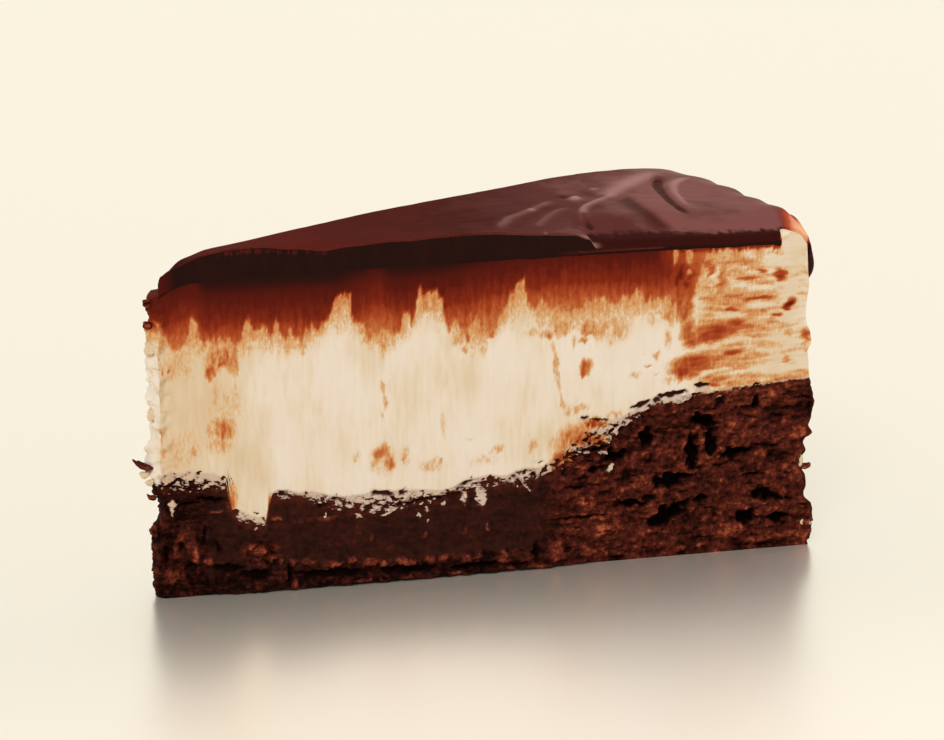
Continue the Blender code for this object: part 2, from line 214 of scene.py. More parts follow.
# Lower edge of the ganache dragged down over the cream by the knife, against the distance along the cut
SMEAR_EDGE = (
    (0, 54), (1, 52.6), (2.2, 49.4), (3.6, 48.8), (5.4, 51), (6.4, 54.4), (7.3, 53.6), (8.2, 50),
    (12, 50.2), (15.4, 49), (16.2, 52.6), (17.2, 53.8), (18.2, 51.7), (20.3, 52), (21.1, 49.4),
    (22.3, 53.8), (23.2, 49.4), (24.1, 48.8), (24.8, 52), (25.6, 49.2), (27, 49), (27.9, 52),
    (30.2, 51.2), (31.6, 52.6), (33.2, 56), (34.6, 57.8), (36.3, 57.4), (36.9, 52.2), (38.4, 52),
    (39.8, 48.3), (41.5, 49.2), (43.2, 49.8), (45.2, 48.8), (46.4, 53), (47.3, 53.6), (48, 50.4),
    (48.8, 54.6), (49.6, 57.4), (52, 57.3), (53.8, 56), (54.6, 50.6), (55.4, 49.2), (56.6, 51.4),
    (58.6, 46.8), (59.6, 49.6), (60.5, 52), (61.6, 48), (63.5, 47), (64.9, 50.4), (66.2, 53.6),
    (68, 56.6), (69.8, 58.4), (70.6, 52.4), (72.3, 52.2), (73.4, 54.4), (74.6, 51.8), (79.5, 51.2),
    (82, 52.4), (85, 53), (87.5, 52.2), (89.4, 53.6), (91, 52.8), (92.1, 54.6), (94.2, 52.5), (98.4, 53),
    (99.6, 51), (103, 52), (104.2, 56), (105.4, 60.4), (106.4, 62.8), (120.2, 63.0), (121.0, 72),
    (127, 72),
)
# How thick the dragged ganache is against the height, and how much higher that runs along the cut
SMEAR_FADE = (
    (40, 0.18), (45, 0.24), (48, 0.30), (50, 0.36), (52, 0.44), (53.5, 0.53), (54.5, 0.60), (56.1, 0.67),
    (57.8, 0.73), (59.4, 0.78), (61, 0.88), (62, 0.96), (63, 1.0), (70, 1.0),
)
SMEAR_LIFT = (
    (0, 0), (3, 0.3), (6.5, 1.7), (9.5, -0.8), (33, -0.8), (38, 0.5), (41.5, 1.6), (45, 0), (54, 0.3),
    (60, 1.3), (74, 3.2), (82, 3.4), (90, 2.8), (98, 2.6), (104, 2.4), (127, 2.4),
)
# The most that the dragged ganache covers, against the distance along the cut
SMEAR_LIMIT = ((0, 1), (90, 1), (96, 0.76), (99, 0.56), (101, 0.48), (103, 0.43), (106, 0.36), (127, 0.36))
# Where the upright drags give way to flat ones, and the shifts that even out the edge of the thin film
SWEEP_START = (99, 106)
FILM_SHIFTS = (-3, -1.5, 0, 1.5, 3)
# Smears and stains on the shown cream: distance along the cut, height, half length, half height, tilt and
# thickness
SMEARS = (
    (110.0, 45.6, 6.4, 1.6, 17, 0.36), (104.4, 38.4, 6.6, 1.8, 16, 0.35), (12.0, 47.5, 4.2, 4.0, 0, 0.26),
    (9.8, 44.8, 1.2, 2.0, 0, 0.36), (14.3, 46.4, 1.0, 3.8, 0, 0.33), (12.0, 45.8, 1.6, 1.1, 0, 0.37),
    (8.5, 49.2, 1.0, 1.6, 0, 0.25), (11.5, 50.6, 3.4, 1.6, 0, 0.31), (10.5, 39.5, 0.9, 5.0, 0, 0.13),
    (14.2, 39.0, 0.8, 5.0, 0, 0.13), (12.0, 37.0, 5.4, 7.0, 0, 0.10), (3.5, 46.4, 4.6, 5.2, 0, 0.13),
    (1.9, 45.4, 0.35, 0.5, 0, 0.42), (-0.1, 47.0, 0.4, 0.4, 0, 0.40), (0.6, 45.2, 0.3, 1.6, 0, 0.22),
    (11.6, 33.2, 3.2, 3.2, 10, 0.27), (12.0, 32.6, 1.6, 1.9, 0, 0.31), (11.0, 30.0, 3.4, 2.2, 0, 0.19),
    (6.0, 28.9, 0.8, 1.4, 0, 0.24), (-0.2, 33.0, 0.6, 2.0, 0, 0.25), (4.0, 30.0, 6.6, 5.4, 0, 0.10),
    (0.4, 29.0, 0.5, 1.4, 0, 0.22), (27.2, 47.2, 0.4, 0.9, 0, 0.25), (35.0, 56.2, 1.5, 2.6, 0, 0.20),
    (36.3, 50.0, 1.2, 5.0, 0, 0.06), (51.5, 55.6, 2.8, 2.2, 0, 0.22), (51.6, 50.4, 2.6, 2.6, 0, 0.07),
    (69.2, 55.4, 1.3, 3.2, -20, 0.18), (57.4, 48.2, 2.0, 2.8, 0, 0.19), (58.9, 48.4, 0.9, 2.0, 0, 0.33),
    (58.2, 45.4, 0.7, 0.7, 0, 0.25), (63.2, 47.5, 1.1, 0.6, -10, 0.38), (62.2, 49.4, 2.3, 1.8, 0, 0.25),
    (42.0, 26.2, 2.0, 2.0, 0, 0.30), (43.4, 24.0, 1.7, 1.6, 0, 0.26), (42.2, 24.8, 3.2, 3.6, 0, 0.16),
    (46.6, 25.2, 1.3, 2.6, 0, 0.13), (46.4, 24.6, 0.7, 0.3, 0, 0.26), (37.0, 25.4, 1.3, 1.7, 0, 0.10),
    (42.3, 39.2, 0.4, 2.2, 10, 0.16), (42.9, 36.4, 0.5, 1.8, 12, 0.20), (42.2, 33.4, 0.6, 1.4, 0, 0.17),
    (54.1, 31.0, 0.6, 3.6, 4, 0.11), (53.2, 23.3, 0.9, 0.9, 0, 0.22), (52.0, 22.8, 3.6, 1.7, 0, 0.12),
    (64.6, 25.0, 2.0, 1.0, 20, 0.15), (62.0, 23.0, 3.6, 1.2, 0, 0.09), (71.9, 25.4, 1.3, 1.7, 0, 0.17),
    (59.0, 27.5, 1.1, 0.7, 0, 0.08), (20.0, 40.0, 1.0, 3.0, 0, 0.06), (74.6, 47.6, 2.0, 1.2, 0, 0.20),
    (77.4, 48.6, 3.2, 2.2, 0, 0.20), (72.0, 48.2, 3.0, 1.0, 0, 0.12), (80.0, 46.0, 1.0, 1.2, 0, 0.13),
    (82.6, 48.6, 2.6, 2.0, 0, 0.23), (83.0, 47.3, 1.6, 0.6, 10, 0.33), (81.6, 46.0, 1.1, 0.8, 0, 0.25),
    (83.4, 49.4, 0.3, 0.3, 0, 0.50), (75.7, 44.0, 0.7, 2.6, 8, 0.16), (76.1, 41.5, 0.8, 2.2, 6, 0.22),
    (76.7, 38.0, 0.7, 2.8, 8, 0.16), (77.6, 34.0, 0.7, 3.0, 14, 0.15), (78.8, 31.2, 1.0, 1.6, 20, 0.14),
    (82.3, 40.8, 1.5, 1.6, 0, 0.36), (82.0, 39.4, 1.1, 1.2, 0, 0.36), (92.2, 38.0, 1.6, 1.1, -10, 0.13),
    (94.6, 39.8, 1.1, 0.3, 0, 0.30), (96.4, 42.2, 1.0, 1.0, 0, 0.14), (93.9, 42.2, 0.6, 0.2, 0, 0.16),
    (96.4, 38.1, 0.5, 0.3, 0, 0.20), (96.6, 50.0, 0.6, 0.5, 0, 0.28), (95.2, 49.4, 2.2, 2.2, 0, 0.12),
    (87.0, 48.0, 5.4, 3.4, 0, 0.17), (89.0, 45.2, 0.9, 0.3, 0, 0.14), (101.4, 57.6, 3.4, 4.6, 0, 0.56),
    (101.4, 51.4, 2.4, 4.2, 0, 0.38), (102.6, 46.4, 2.0, 3.8, 0, 0.33), (99.2, 51.0, 1.2, 3.4, 0, 0.25),
    (98.6, 45.0, 1.0, 3.0, 0, 0.14), (107.6, 45.6, 5.6, 2.6, 4, 0.44), (112.0, 47.2, 3.6, 1.2, 0, 0.43),
    (103.4, 43.8, 2.2, 1.6, 0, 0.36), (104.0, 39.9, 5.6, 2.0, 4, 0.45), (101.6, 38.2, 3.1, 1.8, 0, 0.44),
    (111.6, 41.3, 3.2, 0.9, 0, 0.40), (108.4, 40.4, 4.4, 1.1, 0, 0.30), (112.0, 38.8, 3.0, 1.0, 0, 0.22),
    (111.6, 50.1, 1.7, 0.8, 0, 0.41), (117.0, 52.2, 3.8, 0.5, 0, 0.40), (114.0, 56.1, 3.9, 0.6, 0, 0.38),
    (117.0, 57.6, 1.0, 0.8, 0, 0.36), (113.2, 58.9, 0.8, 0.8, 0, 0.22),
    (121.0, 56.5, 2.0, 1.5, -20, 0.47), (122.9, 50.4, 1.8, 1.4, 20, 0.60),
    (120.4, 48.4, 1.4, 0.5, 10, 0.48), (126.1, 43.9, 1.4, 1.8, 0, 0.36), (123.0, 39.3, 1.0, 1.0, 0, 0.22),
    (122.7, 44.5, 1.1, 1.3, 0, 0.18), (109.0, 36.0, 3.2, 0.8, 8, 0.30), (107.8, 35.0, 1.8, 1.0, 0, 0.34),
    (112.4, 34.7, 3.0, 0.9, 0, 0.22), (106.4, 58.6, 1.5, 2.8, 0, 0.34), (108.7, 56.2, 1.4, 4.4, 0, 0.28),
    (104.6, 60.6, 1.2, 1.8, 0, 0.32), (114.0, 45.8, 3.4, 1.6, 0, 0.20), (112.0, 61.0, 2.0, 1.4, 0, 0.20),
    (118.0, 42.6, 5.0, 1.2, -8, 0.16), (84.4, 28.8, 3.2, 1.1, -10, 0.48),
    (81.6, 25.6, 4.4, 2.2, 10, 0.34), (78.0, 21.8, 3.2, 2.6, 10, 0.42), (80.0, 26.4, 6.6, 3.4, 28, 0.24),
    (76.6, 20.6, 1.6, 1.6, 0, 0.46), (84.6, 25.4, 2.6, 1.4, 0, 0.42), (80.8, 32.4, 3.0, 0.9, 6, 0.15),
    (88.2, 30.6, 2.4, 0.7, -10, 0.14), (13.2, 19.4, 1.2, 3.2, 0, 0.30), (20.3, 16.8, 0.5, 3.2, 0, 0.40),
    (114.0, 32.0, 1.4, 1.6, 0, 0.40), (123.0, 35.4, 5.0, 0.7, 2, 0.25),
)
# Streaks wiped clean of smears: distance along the cut, height, half length, half height and tilt
CLEAN_STREAKS = (
    (107.6, 42.8, 3.8, 0.6, 0), (114.2, 37.4, 3.8, 0.6, 8), (107.4, 37.6, 2.8, 0.6, 14),
    (102.4, 61.2, 0.9, 2.0, 0), (107.8, 57.0, 0.9, 1.8, 0), (111.0, 48.8, 4.4, 0.5, 0),
    (99.6, 61.6, 0.6, 1.8, 0), (102.4, 58.0, 0.5, 0.7, 0), (117.0, 50.6, 3.6, 0.7, 0),
    (117.4, 54.2, 4.4, 0.6, 4), (114.0, 44.2, 2.2, 0.5, 0), (119.4, 59.8, 1.6, 1.6, 0),
    (123.8, 53.6, 1.4, 2.0, 0), (121.0, 37.2, 4.2, 1.0, 0), (124.2, 60.2, 2.4, 2.6, 0),
    (116.0, 61.0, 3.0, 1.0, 0),
)
# Reddish crumbs rubbed up on the shown cut of the base, and painted highlights on raised crumbs, in the
# terms of the smears
REDDISH_AND_HIGHLIT_CRUMBS = (
    (97.6, 13.2, 1.7, 1.2, 0, 1.0), (96.4, 9.8, 1.7, 2.0, 20, 0.9), (94.2, 16.4, 1.0, 0.7, 0, 0.7),
    (16.6, 9.0, 0.7, 1.0, -10, 0.9), (18.4, 7.8, 1.6, 1.3, -30, 0.9), (20.4, 6.2, 1.0, 1.0, 0, 0.7),
    (22.2, 5.6, 0.5, 0.8, 0, 0.8), (2.4, 9.4, 0.9, 2.4, 0, 0.6), (5.8, 8.2, 0.9, 1.9, 0, 0.7),
    (3.4, 12.0, 1.2, 1.2, 30, 0.8), (1.4, 4.0, 1.8, 1.8, 0, 0.6), (27.4, 5.2, 2.2, 0.9, -8, 0.8),
    (32.4, 4.7, 2.4, 0.9, -8, 0.8), (39.4, 4.2, 2.0, 1.0, -20, 0.9), (42.0, 3.8, 1.4, 0.9, -20, 0.8),
    (46.4, 3.7, 2.4, 0.9, -20, 0.8), (51.4, 3.9, 1.2, 1.0, 0, 0.9), (53.6, 3.8, 1.3, 1.0, 0, 0.9),
    (58.4, 3.4, 1.4, 0.8, 0, 0.7), (60.8, 3.5, 1.2, 0.8, 0, 0.7), (65.7, 2.8, 1.0, 1.8, -10, 0.9),
    (36.0, 4.9, 1.2, 0.8, 0, 0.8), (24.6, 5.4, 1.0, 0.9, 10, 0.8), (8.2, 6.8, 1.1, 1.0, 0, 0.7),
    (76.6, 3.0, 1.8, 2.4, -10, 0.9), (83.2, 2.4, 2.2, 0.9, 10, 0.7), (86.0, 3.0, 1.0, 1.0, 0, 0.7),
    (90.0, 1.2, 2.0, 0.7, 0, 0.6), (39.7, 8.9, 0.6, 1.0, 0, 0.6), (50.5, 8.8, 0.6, 1.1, -20, 0.6),
    (58.5, 9.0, 0.5, 1.0, 0, 0.5), (62.8, 9.1, 0.6, 1.2, 10, 0.7), (67.2, 10.4, 0.4, 0.4, 0, 0.5),
    (102.6, 1.4, 2.0, 0.6, 0, 0.9), (106.2, 1.4, 1.2, 0.6, 0, 0.8), (110.0, 1.6, 1.4, 0.5, 0, 0.7),
    (118.0, 2.0, 3.2, 0.7, 2, 0.8), (124.6, 2.5, 4.0, 0.8, 2, 1.0), (124.0, 23.4, 1.8, 2.0, 0, 0.5),
    (121.4, 22.4, 1.4, 1.0, 0, 0.6), (122.8, 26.2, 1.0, 1.3, 0, 0.7), (113.6, 23.4, 2.4, 1.2, 0, 0.6),
    (106.0, 22.8, 0.7, 1.8, 0, 0.6), (102.4, 22.6, 0.7, 2.2, 0, 0.6), (113.8, 30.6, 1.4, 1.2, 0, 0.5),
    (125.8, 17.0, 1.2, 4.0, 0, 0.6), (122.8, 10.2, 0.5, 2.4, -10, 0.7), (92.2, 20.8, 0.8, 2.0, -15, 0.6),
    (88.4, 15.4, 0.8, 1.6, 30, 0.6), (89.0, 8.0, 1.2, 1.4, 0, 0.6), (84.2, 11.8, 2.0, 0.6, -35, 0.5),
    (24.6, 1.2, 0.8, 1.2, 0, 0.6), (74.0, 0.6, 1.8, 0.5, 0, 0.6), (56.0, 0.8, 2.0, 0.5, 0, 0.5),
    (46.4, 0.8, 1.4, 0.5, 0, 0.6), (38.0, 0.8, 2.4, 0.5, 0, 0.4), (29.0, 13.6, 6.0, 0.8, 0, 0.5),
    (12.6, 17.8, 0.8, 1.6, 0, 0.6), (10.0, 16.6, 1.8, 0.5, 0, 0.7), (21.4, 14.4, 1.8, 0.6, -20, 0.8),
)
# Hidden cut: seeded holes, smears and stains, flat ones towards the rim, and the dragged ganache's edge
HIDDEN_HOLES = 14
HIDDEN_SEED = 7
HIDDEN_SPAN = (80, 122)
HIDDEN_LOWEST = 5
HIDDEN_DEPTH = 1.9
HIDDEN_SMEARS = 46
HIDDEN_SMEAR_SPAN = (3, 126)
HIDDEN_SMEAR_HEIGHTS = (24, 54)
HIDDEN_FLAT_START = 92
HIDDEN_EDGE = 52.2
HIDDEN_EDGE_WANDER = 4.2

# Ridges and furrows left on the topping by the spatula: height, widths of the flanks on the left and the
# right of the path, and the path in plan
SPATULA_MARKS = (
    (0.6, 0.8, 1.2, (
        (83.9, 6.4), (84.1, 9.9), (84.6, 12.6), (85.4, 15.4), (86.5, 17.1), (89.7, 20.3), (92.5, 22.4),
        (95, 25),
    )),
    (-0.55, 0.8, 0.7, (
        (84.9, 13.6), (84.4, 10.6), (84.4, 7.4), (84.6, 5),
    )),
    (0.6, 3.2, 2.0, (
        (91.6, 21.8), (93.4, 23.2), (95.6, 27.0), (98.5, 30.5), (101.6, 34.0), (105.6, 37.8), (110, 43),
    )),
    (-0.42, 1.6, 3.2, (
        (95.8, 26.0), (96.1, 20.0), (96.4, 15.0), (98.0, 8.0), (101, 1.0),
    )),
    (-0.8, 1.5, 0.8, (
        (107.8, 38.5), (106.2, 35.1), (104.9, 30.5), (104.4, 24.0), (104.2, 17.5), (104.6, 12.5),
        (105.4, 8.5),
    )),
    (0.58, 0.8, 1.8, (
        (114.6, 38.0), (112.0, 34.6), (109.6, 31.8), (107.9, 28.0), (106.8, 23.7), (106.3, 16.0),
        (106.6, 9.6),
    )),
    (0.35, 0.9, 1.6, (
        (65.2, 1.0), (66.6, 5.8), (69.3, 10.6), (72.7, 13.6), (76.4, 17.3), (79.4, 20.6), (82.6, 22.4),
    )),
    (0.28, 0.7, 1.3, (
        (73.4, 4.0), (74.2, 6.4), (77.3, 11.6), (80.1, 15.4), (84.0, 17.6),
    )),
    (-0.2, 1.2, 1.2, (
        (68.0, 2.0), (70.6, 6.4), (74.0, 11.6), (78.0, 16.0), (82.0, 19.6),
    )),
)
# Share of their heights that the topping takes up
MARK_RELIEF = 0.7
# Small lumps on the topping: place in plan, radius and height
TOPPING_LUMPS = (
    (85.7, 22.3, 1.2, 1.1), (84.0, 24.6, 1.3, -0.45), (91.1, 28.2, 1.0, 0.45), (75.2, 15.2, 0.8, 0.5),
    (74.1, 0.5, 0.5, 0.45), (52.5, 13.0, 0.7, -0.3),
)
# Bumps along the topping's rim: distance from the shown cut's plane, half length and height
RIM_BUMPS = ((39.4, 2.6, 0.6), (30.8, 2.8, 0.7), (21.4, 3.2, 0.6), (11.0, 6.5, 1.3))
# Dents of the topping's edge along the shown cut: distance, half length and depth
EDGE_DENTS = ((25, 3.5, 0.5), (31.5, 3.6, 1.0), (38.0, 3.6, 0.4), (47.0, 3.0, 0.15))
# Where the topping draws back from the corner, how far, and the top of the bare cream there
CORNER_START = 121.1
CORNER_DEPTH = 3.2
CORNER_TOP = (
    (120.5, 61.9), (120.8, 63.0), (122.2, 64.2), (123.6, 64.6), (125.4, 64.0), (126.6, 62.6), (127.4, 61.5),
)
# The drip where the skin meets the shown cut: how far it bulges out, how low it hangs, and where it fades
DRIP_BULGE = 1.3
DRIP_HEIGHT = 53.2
DRIP_FADE = (5, 11)

# Loose bits that cling to the slice: what they are, place, half sizes and tilt
LOOSE_BITS = (
    ("brownie", (-3.2, 1.0, 26.5), (2.3, 1.2, 0.55), -24),
    ("cream", (-3.1, 1.0, 24.8), (0.9, 0.7, 0.7), 10),
    ("cream", (-2.2, 1.0, 23.2), (0.8, 0.7, 0.6), 0),
    ("brownie", (-1.5, 1.1, 58.1), (0.9, 0.8, 0.8), 0),
    ("brownie", (-1.6, 1.1, 53.9), (0.8, 0.7, 0.8), 20),
    ("cream", (-1.3, 1.4, 48.8), (0.9, 0.8, 0.9), 0),
    ("cream", (-1.4, 1.2, 36.4), (0.8, 0.8, 1.2), 0),
    ("brownie", (-1.9, 1.0, 20.2), (1.0, 0.8, 0.5), -10),
    ("brownie", (-1.7, 1.0, 13.4), (0.8, 0.8, 1.1), 15),
    ("brownie", (127.9, 0.8, 16.4), (1.2, 0.7, 0.6), 10),
    ("cream", (127.6, 0.9, 4.6), (0.5, 0.5, 0.6), 0),
    ("cream", (126.8, 0.8, 17.4), (0.5, 0.6, 1.5), 0),
)
# How much a bit curls up towards its ends
BIT_CURL = 0.25

# Ramps of colour: place from 0 to 1, and the colour on the screen from 0 to 255
LOOSE_CRUMB = (
    (0.0, (14, 4, 3)), (0.25, (40, 14, 9)), (0.5, (72, 28, 19)), (0.7, (98, 42, 28)),
    (0.85, (142, 66, 40)), (1.0, (176, 92, 58)),
)
SMOOTH_CRUMB = ((0.0, (26, 10, 7)), (0.35, (46, 21, 15)), (0.7, (60, 26, 18)), (1.0, (96, 40, 26)))
# Reddish crumb, at its brightest a painted highlight
REDDISH_HIGHLIT_CRUMB = ((0.3, (58, 20, 13)), (0.48, (104, 42, 26)), (0.6, (150, 72, 46)), (0.75, (192, 112, 80)))
PALE_CREAM = (
    (0.3, (233, 220, 204)), (0.5, (230, 215, 194)), (0.75, (221, 201, 170)), (1.0, (214, 189, 152)),
)
SMEARED_CREAM = (
    (0.0, (226, 204, 174)), (0.1, (218, 184, 142)), (0.2, (210, 154, 98)), (0.32, (190, 106, 58)),
    (0.44, (166, 70, 34)), (0.58, (130, 42, 20)), (0.74, (90, 25, 15)), (0.9, (56, 19, 14)),
    (1.0, (38, 18, 14)),
)
# The spread's brown with a painted sheen that grows towards the rim
SHEENED_SPREAD_GANACHE = (
    (0.0, (84, 30, 23)), (0.3, (76, 29, 22)), (0.45, (69, 27, 21)), (0.65, (84, 40, 36)),
    (0.82, (88, 44, 39)), (0.93, (106, 63, 57)), (1.0, (118, 70, 64)),
)
# Thin ganache with the painted glow of light through it, also used for painted highlights on the frayed edge
LIT_THIN_GANACHE = ((0.0, (80, 30, 24)), (0.35, (116, 38, 26)), (0.7, (178, 74, 46)), (1.0, (238, 172, 128)))
CUT_GANACHE = ((0.3, (33, 16, 13)), (0.55, (38, 18, 14)), (0.8, (44, 19, 14)))
# Single colours, from 0 to 255 too
# Painted shade in the crumb's holes and crevices
CRUMB_HOLLOW_SHADE = (13, 4, 2)
CRUMB_AT_SEAM = (92, 36, 26)
CREAM_GREYED = (200, 172, 152)
# Painted shade in the cream's hollows and in its cracks
CREAM_HOLLOW_SHADE = (66, 30, 22)
CREAM_CRACK_SHADE = (70, 34, 24)
# Painted highlight on the spatula's ridges and painted shade in its furrows
SPREAD_RIDGE_HIGHLIGHT = (170, 126, 116)
SPREAD_FURROW_SHADE = (60, 21, 17)
# Painted shade of the rolled edge and the walls, without the spread's painted sheen
SPREAD_EDGE_SHADE = (52, 18, 14)
CUT_AT_POINT = (74, 21, 14)
# Painted highlight on the cut's frayed edge and on its bead
CUT_EDGE_HIGHLIGHT = (74, 28, 20)
# Stretches along the slice over which the spread's painted sheen grows towards the rim, and the cut reddens
# at the point
SPREAD_RUN = (-50 * MM, 45 * MM)
POINT_RUN = (-59 * MM, -62.6 * MM)

# Kinds of the node groups' sockets
VECTOR = "NodeSocketVector"
FLOAT = "NodeSocketFloat"
COLOUR = "NodeSocketColor"

# Floor and sky: the stretch away from the camera over which the floor's mirror changes, its strength and
# blur at both ends, and the slant at which it shows
BACKGROUND_COLOUR = (251, 243, 222)
FLOOR_COLOUR = (244, 233, 211)
FLOOR_SIZE = 8
FLOOR_FADE = (-120 * MM, -30 * MM)
FLOOR_MIRROR = (0.26, 0.76)
FLOOR_BLUR = (0.36, 0.285)
FLOOR_SLANT = (0.3, 0.54)
SKY_LIGHT = 0.5
SKY_TINT = (1, 0.96, 0.9, 1)
# Soft lights: name, azimuth, elevation, strength and spread in degrees
DAYLIGHT = (0.96, 1.0, 1.1)
LIGHTS = (("top_light", 150, 75, 1.2, 40), ("front_light", -30, 48, 1.5, 24))

# Camera, set among fits to the slice's corners in the photo: angles in degrees, distance and target
# in millimetres, and the lens in pixels of a picture that wide
VIEW_AZIMUTH = -13.0
VIEW_ELEVATION = 17.2
VIEW_DISTANCE = 525
VIEW_TARGET = np.array((62.0, 10.0, 38.2))
LENS_PIXELS = 2700
PICTURE_WIDTH = 944
SENSOR_WIDTH = 36
NEAREST_SEEN = 0.01


def outline(points, at):
    """Smooth outline through the points, read at many places, with no overshoot between them."""
    places, heights = (np.array(column, float) for column in zip(*points))
    slopes = np.diff(heights) / np.diff(places)
    tangents = np.concatenate(([slopes[0]], np.zeros(len(slopes) - 1), [slopes[-1]]))
    product = slopes[:-1] * slopes[1:]
    total = np.where(product > 0, slopes[:-1] + slopes[1:], 1)
    tangents[1:-1] = np.where(product > 0, 2 * product / total, 0)
    at = np.clip(at, places[0], places[-1])
    index = np.clip(np.searchsorted(places, at) - 1, 0, len(slopes) - 1)
    width = places[index + 1] - places[index]
    share = (at - places[index]) / width
    return (
        (2 * share**3 - 3 * share**2 + 1) * heights[index]
        + (share**3 - 2 * share**2 + share) * width * tangents[index]
        + (3 * share**2 - 2 * share**3) * heights[index + 1]
        + (share**3 - share**2) * width * tangents[index + 1]
    )


def step(low, high, value):
    """Smooth passage from 0 at the low value to 1 at the high one."""
    share = np.clip((value - low) / (high - low), 0, 1)
    return share * share * (3 - 2 * share)


def seeded_places(x, y, z, widths, seed):
    """Places scaled down by the widths and moved away by the seed, for the noises to read."""
    places = np.stack(np.broadcast_arrays(x / widths[0], y / widths[1], z / widths[2]), 1)
    return (places + np.array((13.7, 5.1, 9.3)) * seed).tolist()


def rough(x, y, z, widths, seed):
    """Smooth noise from about -1 to 1, with lumps of the given widths along X, Y and Z."""
    return np.array([noise.noise(place) for place in seeded_places(x, y, z, widths, seed)])


def rugged(x, y, z, widths, seed, octaves):
    """Noise with finer and finer lumps on the coarse ones."""
    places = seeded_places(x, y, z, widths, seed)
    return np.array([noise.fractal(place, 0.8, 2.1, octaves) for place in places])


def grains(x, y, z, widths, seed):
    """Distance to the nearest grain's middle, from 0 to about 1."""
    places = seeded_places(x, y, z, widths, seed)
    return np.array([noise.voronoi(place)[0][0] for place in places])


def spot(x, z, centre, level, half_length, half_height, tilt):
    """Distance from a tilted ellipse's middle, 1 on its edge."""
    turn = math.radians(tilt)
    run = ((x - centre) * math.cos(turn) + (z - level) * math.sin(turn)) / half_length
    rise = ((z - level) * math.cos(turn) - (x - centre) * math.sin(turn)) / half_height
    return np.hypot(run, rise)


def thickest(spots, x, z, soft):
    """The greatest of many spots' values at each place, each fading out over its edge."""
    value = np.zeros(len(x))
    for *form, amount in spots:
        value = np.maximum(value, amount * (1 - step(*soft, spot(x, z, *form))))
    return value


def crown_at(across):
    """How far the blunt point bulges at each share across, from 0 at the cuts to 1 midway."""
    return np.sqrt(np.clip(1 - (2 * across - 1) ** 2, 0, 1))


def plan_place(along, across, point_out, rim_out):
    """Place in plan, from the distance along the cut and the share across from the shown cut."""
    apex = POINT_WIDTH / math.tan(CUT_ANGLE)
    angle = across * CUT_ANGLE
    crown = crown_at(across)
    near = apex - POINT_BULGE * crown
    far = apex * np.cos(angle) + np.sqrt(CAKE_RADIUS**2 - (apex * np.sin(angle)) ** 2)
    reach = near + (far - near) * along / CAKE_RADIUS
    reach = reach - point_out * (0.35 + 0.65 * crown) * (1 - step(0, END_DEPTH, along))
    reach = reach + rim_out * step(CAKE_RADIUS - END_DEPTH, CAKE_RADIUS, along)
    return reach * np.cos(angle) - apex, reach * np.sin(angle)


def select_edges(piece, chosen):
    """Select just the edges whose two ends pass a test, given their first and second ends."""
    mesh = piece.data
    places = read_places(mesh)
    ends = np.zeros(len(mesh.edges) * 2, int)
    mesh.edges.foreach_get("vertices", ends)
    first, second = places[ends[0::2]], places[ends[1::2]]
    mesh.vertices.foreach_set("select", np.zeros(len(mesh.vertices), bool))
    mesh.polygons.foreach_set("select", np.zeros(len(mesh.polygons), bool))
    mesh.edges.foreach_set("select", chosen(first, second))


def cut_across(piece, chosen, count):
    """Cut the faces between the chosen edges into strips."""
    bpy.ops.mesh.select_mode(type="EDGE")
    bpy.ops.object.mode_set(mode="OBJECT")
    select_edges(piece, chosen)
    bpy.ops.object.mode_set(mode="EDIT")
    bpy.ops.mesh.subdivide_edgering(number_cuts=count - 1, interpolation="LINEAR", smoothness=0)


def runs_along(axis):
    """Test for edges that run along one axis of the unit cube."""
    return lambda first, second: np.abs(first[:, axis] - second[:, axis]) > SAME_PLACE


def read_places(mesh):
    places = np.zeros(len(mesh.vertices) * 3, np.float32)
    mesh.vertices.foreach_get("co", places)
    return places.reshape(-1, 3).astype(float)


def read_corners(mesh):
    """The point at each corner of the faces, and where each face's corners start."""
    corners = np.zeros(len(mesh.loops), int)
    mesh.loops.foreach_get("vertex_index", corners)
    starts = np.zeros(len(mesh.polygons), int)
    mesh.polygons.foreach_get("loop_start", starts)
    return corners, starts


def keep_map(piece, run, rise):
    """Keep the map that the streaks follow, given for each corner in millimetres."""
    layer = piece.data.uv_layers.new(name="round")
    layer.data.foreach_set("uv", np.stack((run, rise), 1).astype(np.float32).ravel())


def cut_cube(name, along, across_rim, across_point, levels):
    """A unit cube with its walls cut into a fine grid: X runs along the cuts, Y across and Z up."""
    bpy.ops.object.select_all(action="DESELECT")
    bpy.ops.mesh.primitive_cube_add(size=1, location=(0.5, 0.5, 0.5))
    cube = bpy.context.object
    cube.name = name
    bpy.ops.object.transform_apply(location=True)
    bpy.ops.object.mode_set(mode="EDIT")
    cut_across(cube, runs_along(0), along)
    cut_across(cube, runs_along(2), levels)
    for end, count in ((1, across_rim), (0, across_point)):
        cut_across(
            cube,
            lambda first, second: runs_along(1)(first, second) & (np.abs(first[:, 0] - end) < SAME_PLACE),
            count,
        )
    bpy.ops.object.mode_set(mode="OBJECT")
    return cube


def cut_slab(name, along, across, levels):
    """A unit slab with its top and bottom cut into a fine grid, and its walls into levels."""
    bpy.ops.object.select_all(action="DESELECT")
    bpy.ops.mesh.primitive_grid_add(
        x_subdivisions=along, y_subdivisions=across, size=1, location=(0.5, 0.5, 1)
    )
    slab = bpy.context.object
    slab.name = name
    bpy.ops.object.transform_apply(location=True)
    bpy.ops.object.mode_set(mode="EDIT")
    bpy.ops.mesh.select_all(action="SELECT")
    bpy.ops.mesh.extrude_region_move(TRANSFORM_OT_translate={"value": (0, 0, -1)})
    cut_across(slab, runs_along(2), levels)
    bpy.ops.object.mode_set(mode="OBJECT")
    return slab


